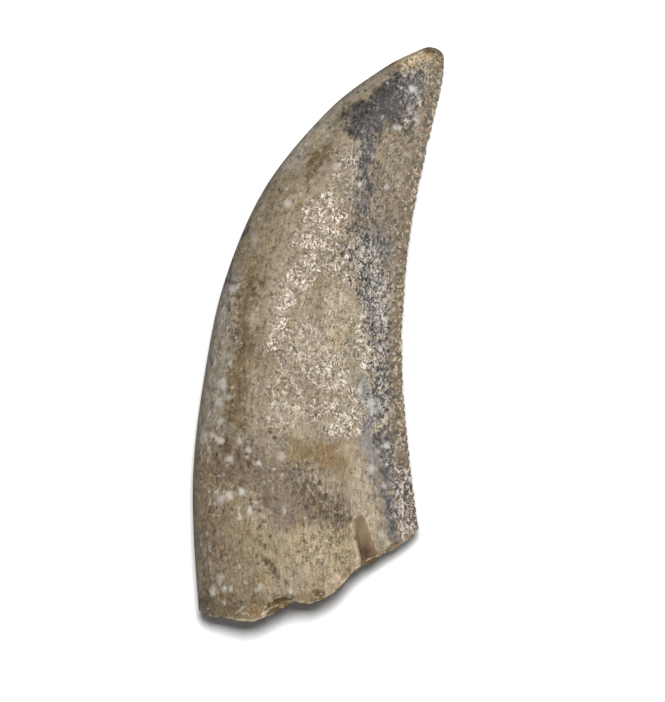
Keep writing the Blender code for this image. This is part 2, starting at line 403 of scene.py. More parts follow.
@dataclass
class Crack:
    """A fine open crack along a few points of the upper face."""

    path: tuple[Point, ...]
    width: float
    depth: float

    def distance(self, place: np.ndarray) -> np.ndarray:
        """How far each place is from the crack, seen from above.

        Args:
            place: Surface points.

        Returns:
            Distances in millimetres.
        """
        flat = place[..., :2]
        nearest = np.full(flat.shape[:-1], np.inf)
        for start, end in zip(np.array(self.path), np.array(self.path[1:])):
            way = end - start
            f = np.clip(((flat - start) @ way) / (way @ way), 0, 1)
            gap = np.linalg.norm(flat - start - f[..., None] * way, axis=-1)
            nearest = np.minimum(nearest, gap)
        return nearest


@dataclass
class Relief:
    """Damage and wear on the upper face, as changes of height."""

    scoops: tuple[Scoop, ...] = each(
        Scoop,
        (0.325, (0.98, 0.62, 0.48), 20.0, -0.02, 0.08),
        (0.496, (0.50, 0.52, 0.40), 8.0, 0.04, 0.08),
        (0.885, (0.62, 0.40, 0.45), 24.0, 0.16, 0.05),
    )
    spall: Spall = field(default_factory=Spall)
    pits: tuple[Pit, ...] = each(
        Pit,
        (-2.80, -11.05, 0.12, 0.09, 2.0), (-2.72, -11.88, 0.20, 0.12), (-2.42, -12.02, 0.14, 0.10, 1.0),
        (-2.33, -12.36, 0.13, 0.10, 1.8), (-3.25, -11.55, 0.09, 0.05, 2.0), (-3.15, -12.00, 0.09, 0.06, 1.6),
        (-1.72, -12.95, 0.08, 0.07, 2.4), (-2.55, -5.12, 0.12, 0.06, 0.8), (-2.30, -5.42, 0.13, 0.06, 1.2),
        (1.62, 3.85, 0.13, 0.06), (1.28, 4.20, 0.10, 0.05), (2.10, 2.10, 0.12, 0.05, 1.0),
        (2.45, 2.35, 0.09, 0.05), (0.05, -7.70, 0.08, 0.04), (-0.70, -8.15, 0.09, 0.04),
        (-0.62, -9.00, 0.10, 0.05), (-0.20, -9.60, 0.12, 0.05, 1.0), (3.30, -4.35, 0.10, 0.05),
        (-0.42, -11.10, 0.07, 0.04, 1.0), (0.12, -11.05, 0.07, 0.04, 1.0), (-3.60, -9.90, 0.08, 0.04),
    )
    cracks: tuple[Crack, ...] = each(
        Crack,
        (((1.02, 2.15), (0.98, 1.50), (1.08, 0.80), (1.02, 0.10), (1.10, -0.60), (1.06, -1.00)), 0.06, 0.025),
        (((0.30, 2.06), (0.62, 2.20), (0.90, 2.08), (1.20, 2.22), (1.60, 2.10)), 0.07, 0.025),
        (((0.85, -1.04), (1.25, -0.92), (1.65, -1.08)), 0.06, 0.02),
        (((1.75, -10.20), (1.50, -10.65), (1.02, -10.90), (0.50, -11.45)), 0.06, 0.02),
        (((4.13, -8.60), (4.17, -9.30), (4.10, -10.00), (4.12, -10.60)), 0.06, 0.035),
        (((-3.10, -6.95), (-3.25, -7.60), (-3.00, -8.25), (-2.55, -8.60), (-2.50, -9.15)), 0.06, 0.03),
        (((-3.25, -7.60), (-3.75, -7.95), (-3.95, -8.60)), 0.05, 0.02),
        (((0.42, -13.55), (0.38, -12.95), (0.90, -12.60), (1.40, -12.36), (2.05, -11.85)), 0.08, 0.05),
        (((-4.40, -14.60), (-4.15, -14.45), (-3.90, -14.25)), 0.07, 0.04),
    )
    lump_size: float = 0.013
    lump_noise: tuple[Triple, ...] = ((1.1, 20.0, 1.0), (2.4, 31.0, 0.6))
    streak_size: float = 0.003
    streak_scales: Triple = (2.6, 0.35, 1.0)

    def apply(self, form: CrownForm, grid: dict[str, np.ndarray], upper: np.ndarray) -> None:
        """Carves the damage into a grid of surface points.

        Args:
            form: The crown's main form.
            grid: The grid's arrays, of which place is changed and the masks are added.
            upper: 1 where a point belongs to the upper face or the rim under it, else 0.
        """
        place = grid["place"]
        skin = place[..., 2].copy()
        lumps = layered(place, *self.lump_noise)
        streaks = noise_field(place * np.array(self.streak_scales), 1.0, 44.0)
        body = np.clip(grid["chord"] / 3, 0, 1) * upper
        place[..., 2] += (self.lump_size * lumps + self.streak_size * streaks) * body
        scar = np.zeros_like(skin)
        for scoop in self.scoops:
            middle = self._middle(form, scoop)
            bed, inside = scoop.bed(place, middle)
            cut = inside & (upper > 0) & (place[..., 2] > bed)
            scar = np.maximum(scar, np.where(cut, place[..., 2] - bed, 0))
            place[..., 2] = np.where(cut, bed, place[..., 2])
        carved = self.spall.carve(place) * upper
        place[..., 2] -= carved
        pits, cracks = np.zeros_like(skin), np.zeros_like(skin)
        uneven = noise_field(place, 5.0, 61.0)
        for pit in self.pits:
            hole = pit.hole(place, uneven) * upper
            place[..., 2] -= pit.depth * hole
            pits = np.maximum(pits, hole)
        broken_up = smoothstep(-0.45, 0.15, uneven)
        for crack in self.cracks:
            open_part = smoothstep(crack.width, 0.0, crack.distance(place)) * upper * broken_up
            place[..., 2] -= crack.depth * open_part
            cracks = np.maximum(cracks, open_part)
        grid["scoop"] = smoothstep(0.01, 0.07, scar)
        grid["spall"] = smoothstep(0.0, 0.03, carved)
        grid["pit"] = pits
        grid["crack"] = cracks

    def _middle(self, form: CrownForm, scoop: Scoop) -> np.ndarray:
        """The middle of a scoop, out from its place on the rim."""
        rim = form.surface(np.array([0.0]), np.array([scoop.share]), np.array([1.0]))["place"][0, 0]
        return rim + np.array([*(form.down * scoop.outside), scoop.over])


class Sock:
    """A node's output that Python's operators can work on; each one adds a Math node."""

    def __init__(self, tree: "NodeTree", link: Any) -> None:
        """Keeps the tree and the socket."""
        self.tree = tree
        self.link = link

    def _math(self, operation: str, *values: "Sock | float") -> "Sock":
        """A Math node on these values."""
        return self.tree.node("ShaderNodeMath", {"operation": operation}, *values)

    def __add__(self, other: "Sock | float") -> "Sock":
        """self + other."""
        return self._math("ADD", self, other)

    __radd__ = __add__

    def __sub__(self, other: "Sock | float") -> "Sock":
        """self - other."""
        return self._math("SUBTRACT", self, other)

    def __rsub__(self, other: float) -> "Sock":
        """other - self."""
        return self._math("SUBTRACT", other, self)

    def __mul__(self, other: "Sock | float") -> "Sock":
        """self * other."""
        return self._math("MULTIPLY", self, other)

    __rmul__ = __mul__

    def __truediv__(self, other: "Sock | float") -> "Sock":
        """self / other."""
        return self._math("DIVIDE", self, other)

    def __pow__(self, other: float) -> "Sock":
        """self ** other."""
        return self._math("POWER", self, other)

    def __abs__(self) -> "Sock":
        """The size of self without its sign."""
        return self._math("ABSOLUTE", self)

    def least(self, other: "Sock | float") -> "Sock":
        """The smaller of two."""
        return self._math("MINIMUM", self, other)

    def most(self, other: "Sock | float") -> "Sock":
        """The larger of two."""
        return self._math("MAXIMUM", self, other)

    def floor(self) -> "Sock":
        """The whole number under self."""
        return self._math("FLOOR", self)

    def fraction(self) -> "Sock":
        """What is left of self over its whole number."""
        return self._math("FRACT", self)

    def sine(self) -> "Sock":
        """The sine of self."""
        return self._math("SINE", self)

    def ramp(self, low: float, high: float) -> "Sock":
        """A smooth rise from 0 at low to 1 at high, or a fall if high is the smaller."""
        start, end, first, last = (low, high, 0.0, 1.0) if low < high else (high, low, 1.0, 0.0)
        settings = {"interpolation_type": "SMOOTHSTEP"}
        return self.tree.node("ShaderNodeMapRange", settings, self, start, end, first, last)


@dataclass(frozen=True)
class Grain:
    """A kind of noise.

    It says how many waves each millimetre has, how many finer layers there are and how strong,
    how far the shapes are twisted, and how the place is multiplied before it is read.
    """

    scale: float
    detail: float = 2.0
    roughness: float = 0.5
    curl: float = 0.0
    stretch: Triple | None = None


CLOUD = Grain(0.55, 3.0, 0.55)
SLOW_SHAKE = Grain(0.8, 3.0)
QUICK_SHAKE = Grain(4.0, 1.0)
WANDER = Grain(2.2, 3.0, 0.6)
FINE = Grain(4.8, 2.0, 0.6)
GRIT = Grain(10.0, 1.0)
FLECKS = Grain(5.6, 1.0, 0.5, 1.1, (1.0, 0.66, 1.0))
CURLS = Grain(3.4, 0.0, 0.5, 1.2, (1.0, 0.75, 1.0))
THREADS = Grain(1.0, 2.0, 0.6, 0.0, (8.0, 1.1, 1.0))
STREAKS = Grain(1.0, 3.0, 0.6, 0.0, (4.2, 0.55, 3.0))
FIBRE = Grain(1.0, 2.0, 0.6, 0.0, (8.5, 2.4, 4.0))
WARMTH = Grain(1.3)
BLOTCHES = Grain(1.4, 2.0, 0.6)
DENTINE_GRAIN = Grain(1.2, 3.0)
FINE_RELIEF = Grain(4.5, 2.0, 0.55)
FRACTURE_GRAIN = Grain(3.0, 4.0, 0.65)


class NodeTree:
    """A node tree under construction, for a material or for geometry."""

    def __init__(self, tree: bpy.types.NodeTree) -> None:
        """Starts from an empty tree."""
        self.tree = tree
        tree.nodes.clear()

    def node(self, kind: str, settings: dict[str, Any] | None = None, *values: Any, **named: Any) -> Sock:
        """Adds a node.

        Args:
            kind: The node's type.
            settings: Properties, set before its sockets are.
            *values: Values or links of its sockets, in their order; None leaves one as it is.
            **named: Values or links by the socket's name, with _ for a space.

        Returns:
            Its first output that is in use.
        """
        made = self.tree.nodes.new(kind)
        for name, value in (settings or {}).items():
            setattr(made, name, value)
        sockets = [socket for socket in made.inputs if socket.enabled]
        pairs = list(zip(sockets, values))
        pairs += [(self._named(sockets, name), value) for name, value in named.items()]
        for socket, value in pairs:
            if isinstance(value, Sock):
                self.tree.links.new(value.link, socket)
            elif value is not None:
                socket.default_value = value
        outputs = [socket for socket in made.outputs if socket.enabled]
        return Sock(self, outputs[0] if outputs else None)

    @staticmethod
    def _named(sockets: Sequence[Any], name: str) -> Any:
        """The socket of a name, written with _ for a space."""
        wanted = name.replace("_", " ").lower()
        return next(socket for socket in sockets if socket.name.lower() == wanted)

    @staticmethod
    def output(of: Sock, name: str) -> Sock:
        """Another output of the node that a socket belongs to."""
        return Sock(of.tree, of.link.node.outputs[name])

    def vector(self, operation: str, *values: Any) -> Sock:
        """A Vector Math node."""
        return self.node("ShaderNodeVectorMath", {"operation": operation}, *values)

    def mix(self, share: Sock | float, first: Any, second: Any) -> Sock:
        """A colour between two.

        Args:
            share: 0 for the first colour and 1 for the second.
            first: A colour or a link.
            second: A colour or a link.

        Returns:
            The mixed colour.
        """
        settings = {"data_type": "RGBA", "clamp_factor": True}
        return self.node("ShaderNodeMix", settings, share, first, second)

    def multiply(self, share: Sock | float, first: Any, second: Any) -> Sock:
        """A colour multiplied by another, as far as the share says."""
        settings = {"data_type": "RGBA", "blend_type": "MULTIPLY"}
        return self.node("ShaderNodeMix", settings, share, first, second)

    def lit(self, colour: Any, light: Sock) -> Sock:
        """A colour made lighter or darker by a number."""
        shade = self.node("ShaderNodeCombineColor", None, light, light, light)
        return self.multiply(1.0, colour, shade)

    def scaled(self, vector: Any, amount: Sock | float) -> Sock:
        """A vector times a number."""
        made = self.vector("SCALE", vector)
        socket = made.link.node.inputs["Scale"]
        if isinstance(amount, Sock):
            self.tree.links.new(amount.link, socket)
        else:
            socket.default_value = amount
        return made

    def grain(self, where: Sock, kind: Grain) -> Sock:
        """Noise from 0 to 1 around 0.5.

        Args:
            where: The place in millimetres.
            kind: The kind of noise.

        Returns:
            The noise's value.
        """
        if kind.stretch:
            where = self.vector("MULTIPLY", where, kind.stretch)
        values = {"Scale": kind.scale, "Detail": kind.detail, "Roughness": kind.roughness}
        return self.node("ShaderNodeTexNoise", None, Vector=where, Distortion=kind.curl, **values)


def linear(tone: Triple) -> tuple[float, float, float, float]:
    """A colour as shaders need it, from 0 to 255 values as seen on a screen."""
    parts = [c / 255 for c in tone]
    return (*(p / 12.92 if p <= 0.04045 else ((p + 0.055) / 1.055) ** 2.4 for p in parts), 1.0)


@dataclass
class Serration:
    """The row of denticles on the rear edge, made by Geometry Nodes from the edge's own rule.

    Each denticle is a blunt chisel across the edge, with a groove between it and the next one
    that runs a little way onto each face. How far each one is worn down is random.
    """

    count: int
    height: float = 0.085
    groove_depth: float = 0.035
    groove_reach: float = 0.75
    worn_tip: float = 0.955
    broken_base: float = 0.02
    slant: float = 0.35
    least_height: float = 0.45
    lost_share: float = 0.05
    crest_reach: float = 0.16
    bluntness: float = 0.55
    seed: int = 7

    def tree(self, enamel: bpy.types.Material) -> bpy.types.NodeTree:
        """Builds the node tree.

        Args:
            enamel: The material that the tree sets at its end.

        Returns:
            The tree, with its sizes as named inputs.
        """
        group = bpy.data.node_groups.new("serration", "GeometryNodeTree")
        nodes = NodeTree(group)
        face = group.interface
        face.new_socket("Geometry", in_out="INPUT", socket_type="NodeSocketGeometry")
        for name in ("Denticle count", "Height", "Groove depth", "Groove reach", "Slant", "Seed"):
            kind = "NodeSocketInt" if name == "Seed" else "NodeSocketFloat"
            face.new_socket(name, in_out="INPUT", socket_type=kind)
        face.new_socket("Geometry", in_out="OUTPUT", socket_type="NodeSocketGeometry")
        given = nodes.node("NodeGroupInput")
        count, height, depth, reach, slant, seed = (
            nodes.output(given, item.name)
            for item in face.items_tree
            if item.in_out == "INPUT" and item.name != "Geometry"
        )
        along = self._attribute(nodes, "along", "FLOAT")
        edge = self._attribute(nodes, "edge_mm", "FLOAT")
        outward = self._attribute(nodes, "outward", "FLOAT_VECTOR")
        turn = along * count + edge * slant
        index, local = turn.floor(), turn.fraction()
        worn, lost = (
            nodes.node(
                "FunctionNodeRandomValue", {"data_type": "FLOAT"}, Min=least, Max=1.0, ID=index, Seed=number
            )
            for least, number in ((self.least_height, seed), (0.0, seed + 5))
        )
        worn = worn * lost.ramp(self.lost_share, self.lost_share + 0.01)
        worn = worn * along.ramp(self.broken_base, self.broken_base + 0.02)
        worn = worn * along.ramp(self.worn_tip, self.worn_tip - 0.05)
        hump = (local * math.pi).sine().most(0.0) ** self.bluntness
        crest = edge.ramp(self.crest_reach, 0.0)
        push = nodes.scaled(outward, hump * crest * worn * height * MM)
        normal = nodes.node("GeometryNodeInputNormal")
        fade = (1 - edge / reach).most(0.0) ** 0.8
        sunk = (1 - hump) * fade * depth * (0.35 + 0.65 * worn) * -MM
        dent = nodes.scaled(normal, sunk)
        moved = nodes.node(
            "GeometryNodeSetPosition", None, Geometry=nodes.output(given, "Geometry"),
            Offset=nodes.vector("ADD", push, dent),
        )
        for name, value in (
            ("denticle", hump * fade * (0.25 + 0.75 * worn)),
            ("groove", (1 - hump).ramp(0.25, 0.8) * fade),
        ):
            moved = nodes.node(
                "GeometryNodeStoreNamedAttribute", {"data_type": "FLOAT", "domain": "POINT"},
                Geometry=moved, Name=name, Value=value,
            )
        real = nodes.node("GeometryNodeRealizeInstances", None, moved)
        dressed = nodes.node("GeometryNodeSetMaterial", None, Geometry=real, Material=enamel)
        nodes.node("NodeGroupOutput", None, dressed)
        return group

    @staticmethod
    def _attribute(nodes: NodeTree, name: str, kind: str) -> Sock:
        """A named attribute of the crown's mesh."""
        return nodes.node("GeometryNodeInputNamedAttribute", {"data_type": kind}, Name=name)

    def grow(self, base: bpy.types.Object, enamel: bpy.types.Material) -> bpy.types.Mesh:
        """Raises the denticles on the crown's mesh.

        Args:
            base: The crown without its denticles.
            enamel: The crown's material.

        Returns:
            The finished mesh, with no modifier left to run.
        """
        group = self.tree(enamel)
        modifier = base.modifiers.new("serration", "NODES")
        modifier.node_group = group
        sizes = {
            "Denticle count": float(self.count), "Height": self.height, "Groove depth": self.groove_depth,
            "Groove reach": self.groove_reach, "Slant": self.slant, "Seed": self.seed,
        }
        for item in group.interface.items_tree:
            if item.in_out == "INPUT" and item.name in sizes:
                modifier[item.identifier] = sizes[item.name]
        graph = bpy.context.evaluated_depsgraph_get()
        mesh = bpy.data.meshes.new_from_object(
            base.evaluated_get(graph), preserve_all_data_layers=True, depsgraph=graph
        )
        base.modifiers.remove(modifier)
        return mesh


@dataclass
class BrokenBase:
    """The rough face where the crown snapped off, with the hollow of the pulp in its middle."""

    rings: tuple[Point, ...] = (
        (0.015, 0.00), (0.035, 0.03), (0.06, 0.08), (0.10, 0.15), (0.16, 0.22), (0.23, 0.30),
        (0.30, 0.38), (0.38, 0.42), (0.46, 0.46), (0.54, 0.50), (0.61, 0.52), (0.67, 0.56),
        (0.72, 0.64), (0.77, 0.82), (0.82, 1.08), (0.87, 1.32), (0.93, 1.50),
    )
    levelling: float = 0.40
    pulp_depth: float = 1.55
    coarse: float = 0.34
    fine: float = 0.07
    fine_noise: tuple[Triple, ...] = ((2.2, 3.0, 1.0), (5.0, 8.0, 0.5))
    ledge: float = 0.24
    ledge_shares: Point = (0.50, 0.86)

    def points(
        self, rim: np.ndarray, share: np.ndarray, side: np.ndarray, form: CrownForm
    ) -> tuple[np.ndarray, np.ndarray]:
        """Rings of points from the rim to the middle.

        Args:
            rim: The crown's first row.
            share: Shares of its columns.
            side: Sides of its columns.
            form: The crown's main form.

        Returns:
            The rings, and the last point in the middle of the hollow.
        """
        inward = -np.array([*form.down, 0.0])
        middle = rim.mean(axis=0)
        way = np.array([ring[0] for ring in self.rings])[:, None]
        depth = np.array([ring[1] for ring in self.rings])[:, None]
        place = rim[None] + (middle - rim)[None] * way[..., None]
        uneven = ((place - middle) @ inward) * smoothstep(0, self.levelling, way)
        rough = self.coarse * noise_field(place, 0.9) * np.minimum(1, way * 5)
        rough = rough + self.fine * layered(place, *self.fine_noise) * np.minimum(1, way * 12)
        start, end = self.ledge_shares
        shelf = smoothstep(start, start + 0.1, share) * smoothstep(end, end - 0.08, share) * (side > 0)
        shelf = shelf[None] * smoothstep(0.012, 0.05, way) * smoothstep(0.20, 0.10, way)
        rings = place + inward * (depth + rough - uneven - self.ledge * shelf)[..., None]
        return rings, middle + inward * self.pulp_depth


MASKS = (
    "edge_mm", "upness", "broken", "ring", "rim_mm", "scoop", "spall", "pit", "crack", "denticle",
    "groove",
)


@dataclass
class CrownMesh:
    """The crown as one closed mesh, as fine as the denticles and the chips need."""

    form: CrownForm
    relief: Relief
    base: BrokenBase
    serration: Serration
    rows_per_denticle: int = 8
    front_columns: int = 18
    flank_columns: int = 88
    band_columns: int = 34
    lower_columns: int = 40
    crest_columns: int = 5
    lower_gathering: float = 0.55
    lower_lean: float = 1.4
    band_share: float = 0.80
    tip_rows: tuple[float, ...] = (0.9965, 0.9978, 0.9988, 0.9995, 0.9999)

    def _columns(self) -> tuple[np.ndarray, np.ndarray]:
        """Shares and sides of the columns, round the section from the rear edge and back to it."""
        quarter = np.pi / 2
        start = self.form.upper_crest[0] / 2
        front = start * (1 - np.cos(quarter * np.arange(self.front_columns) / self.front_columns))
        flank = np.linspace(start, self.band_share, self.flank_columns, endpoint=False)
        band = np.linspace(self.band_share, 1.0, self.band_columns + 1)
        upper = np.concatenate([front, flank, band])
        f = np.arange(self.lower_columns + 1) / self.lower_columns
        gathered = 0.5 - 0.5 * np.cos(np.pi * f)
        lower = self.lower_gathering * gathered + (1 - self.lower_gathering) * f**self.lower_lean
        crest = np.linspace(-1, 1, self.crest_columns + 2)[1:-1]
        share = np.concatenate([upper[::-1], lower[1:], np.ones(self.crest_columns)])
        side = np.concatenate([np.ones(len(upper)), -np.ones(len(lower) - 1), crest])
        return share, side

    def _rows(self) -> np.ndarray:
        """Shares of the rows from the base to the tip, the same number for each denticle."""
        count = self.serration.count * self.rows_per_denticle
        even = np.arange(count + 1) / count
        return np.concatenate([even[even < self.tip_rows[0] - 0.5 / count], self.tip_rows])

    def build(self, enamel: bpy.types.Material) -> bpy.types.Object:
        """Makes the crown.

        Args:
            enamel: Its material.

        Returns:
            The finished piece, at the origin and with no modifier.
        """
        along, (share, side) = self._rows(), self._columns()
        grid = self.form.surface(along, share, side)
        self._fracture(grid, share, side)
        ones = np.ones(grid["chord"].shape)
        count = len(self.base.rings)
        grid["along"] = np.concatenate([np.zeros(count), along])[:, None] * ones
        grid["side"] = side[None, :] * ones
        upper = np.where(grid["side"] > 0.99, 1.0, 0.0) * (grid["edge_mm"] > 0.02)
        upper[:count] = (grid["place"][:count, :, 2] > grid["place"][count : count + 1, :, 2].mean()) * 1.0
        self.relief.apply(self.form, grid, upper)
        self._flow(grid, share, along, count)
        mesh = self._mesh(grid, count)
        base = bpy.data.objects.new("crown_base", mesh)
        bpy.context.scene.collection.objects.link(base)
        finished = self.serration.grow(base, enamel)
        finished.name = "fossil_tooth"
        bpy.data.objects.remove(base)
        bpy.data.meshes.remove(mesh)
        finished.shade_smooth()
        piece = bpy.data.objects.new("fossil_tooth", finished)
        bpy.context.scene.collection.objects.link(piece)
        return piece

    def _fracture(self, grid: dict[str, np.ndarray], share: np.ndarray, side: np.ndarray) -> None:
        """Puts the broken face's rings in front of the crown's rows, innermost first.

        Args:
            grid: The crown's arrays, which are made longer.
            share: Shares of the columns.
            side: Sides of the columns.
        """
        rings, self.middle = self.base.points(grid["place"][0], share, side, self.form)
        rings = rings[::-1]
        count = len(rings)
        shares = np.array([ring[0] for ring in self.base.rings])[::-1]
        reach = np.linalg.norm(rings - grid["place"][0][None], axis=2)
        broken = np.concatenate([np.ones((count, len(share))), np.zeros(grid["chord"].shape)])
        broken[count] = 0.5
        for name in ("chord", "edge_mm", "upness"):
            grid[name] = np.concatenate([np.repeat(grid[name][:1], count, axis=0), grid[name]])
        grid["edge_mm"][:count] += reach
        grid["place"] = np.concatenate([rings, grid["place"]])
        grid["broken"] = broken
        ring_depth = shares[:, None] * np.ones((1, len(share)))
        grid["ring"] = np.concatenate([ring_depth, np.zeros((len(broken) - count, len(share)))])

    def _flow(self, grid: dict[str, np.ndarray], share: np.ndarray, along: np.ndarray, count: int) -> None:
        """Adds coordinates that follow the crown: across and along it, in millimetres.

        Args:
            grid: The arrays, to which flow, rim and outward are added.
            share: Shares of the columns.
            along: Shares of the crown's rows.
            count: How many rings the broken face has.
        """
        mean_length = (self.form.front.length + self.form.rear.length) / 2
        sign = np.where(grid["side"] > -0.99, 1.0, -1.0)
        across = sign * share[None, :] * grid["chord"]
        grid["flow"] = np.stack([across, grid["along"] * mean_length, grid["side"]], -1)
        grid["rim_mm"] = grid["along"] * mean_length
        rows = np.concatenate([np.zeros(count), along])
        way = self.form.rear.at(rows) - self.form.front.at(rows)
        way /= np.maximum(np.linalg.norm(way, axis=1, keepdims=True), 1e-6)
        flat = np.concatenate([way, np.zeros((len(rows), 1))], 1)[:, None, :]
        grid["outward"] = flat * (1 - grid["broken"])[..., None]

    def _mesh(self, grid: dict[str, np.ndarray], count: int) -> bpy.types.Mesh:
        """Joins the grid into one closed mesh.

        Args:
            grid: The arrays, broken face first.
            count: How many rings the broken face has.

        Returns:
            The mesh in metres, with its attributes.
        """
        rows, columns = grid["chord"].shape
        index = np.arange(rows * columns).reshape(rows, columns)
        following = np.roll(index, -1, axis=1)
        quads = np.stack([index[:-1], index[1:], following[1:], following[:-1]], -1).reshape(-1, 4)
        tip = self.form.surface(np.array([1.0]), np.array([0.5]), np.array([1.0]))["place"][0, 0]
        base_end, tip_end = rows * columns, rows * columns + 1
        fans = [(base_end, a, b) for a, b in zip(index[0], following[0])]
        fans += [(tip_end, b, a) for a, b in zip(index[-1], following[-1])]
        points = np.vstack([grid["place"].reshape(-1, 3), self.middle, tip]) * MM
        mesh = bpy.data.meshes.new("crown_base")
        faces = [*map(tuple, quads.tolist()), *(tuple(int(k) for k in fan) for fan in fans)]
        mesh.from_pydata(points.tolist(), [], faces)
        if self._volume(points, quads) < 0:
            mesh.flip_normals()
        for name in ("along", *MASKS[: MASKS.index("denticle")]):
            values = grid[name].reshape(-1)
            self._store(mesh, name, "FLOAT", np.concatenate([values, values[:1], values[-1:]]))
        for name in ("flow", "outward"):
            values = grid[name].reshape(-1, 3)
            self._store(mesh, name, "FLOAT_VECTOR", np.vstack([values, values[:1], values[-1:]]))
        return mesh

    @staticmethod
    def _volume(points: np.ndarray, quads: np.ndarray) -> float:
        """The signed volume under the quads, which tells which way they face."""
        a, b, c, d = (points[quads[:, k]] for k in range(4))
        return float(np.sum(np.cross(a, b) * c) + np.sum(np.cross(a, c) * d)) / 6

    @staticmethod
    def _store(mesh: bpy.types.Mesh, name: str, kind: str, values: np.ndarray) -> None:
        """Writes one attribute of the mesh's points."""
        layer = mesh.attributes.new(name, kind, "POINT")
        part = "vector" if kind == "FLOAT_VECTOR" else "value"
        layer.data.foreach_set(part, values.astype(np.float32).ravel())


class Tone(Enum):
    """The fossil's own colours, as seen in plain light, and GLINT, the colour of painted highlights."""

    TAN = (156, 141, 116)
    PALE_TAN = (180, 163, 136)
    YELLOW_TAN = (164, 145, 112)
    CREAM = (226, 214, 192)
    WHITE = (232, 228, 220)
    # GLINT is the colour of the painted highlight in the glint patch, not a colour of the fossil.
    GLINT = (255, 244, 230)
    FLAKE = (200, 176, 152)
    OCHRE = (200, 180, 144)
    OLIVE = (142, 129, 107)
    OLIVE_BROWN = (143, 126, 99)
    EDGE_BROWN = (124, 108, 83)
    ASH = (150, 141, 127)
    GOLDEN = (136, 112, 73)
    BROWN = (117, 99, 72)
    GREY_BROWN = (116, 100, 77)
    PURPLE_GREY = (120, 104, 85)
    STONE_GREY = (136, 124, 108)
    SMOKE = (98, 91, 83)
    SLATE = (72, 66, 64)
    BLUE_GREY = (114, 108, 103)
    PALE_BLUE = (138, 136, 136)
    SILVER = (170, 160, 141)
    NEAR_BLACK = (46, 42, 42)
    DARK_BROWN = (60, 44, 26)
    CHIP_BROWN = (92, 72, 42)
    NOTCH_BROWN = (134, 112, 80)
    RED_BROWN = (108, 74, 47)
    EARTH = (74, 56, 46)
    DENTINE = (150, 128, 96)
    PULP = (112, 98, 80)


@dataclass(frozen=True)
class Area:
    """A soft-edged area along a short path on the upper face.

    Its half width is where it is half gone, its softness the width of that fading, and its
    raggedness how far the border wanders.
    """

    path: tuple[Point, ...]
    half_width: float
    softness: float = 0.8
    strength: float = 0.9
    raggedness: float = 1.0


@dataclass(frozen=True)
class Stain:
    """An area of one colour."""

    tone: Tone
    area: Area


def stains(*rows: tuple[Any, ...]) -> tuple[Stain, ...]:
    """Stains from rows of a tone and an area's values.

    Args:
        *rows: The tone first, then what an area takes.

    Returns:
        The stains.
    """
    return tuple(Stain(tone, Area(*values)) for tone, *values in rows)


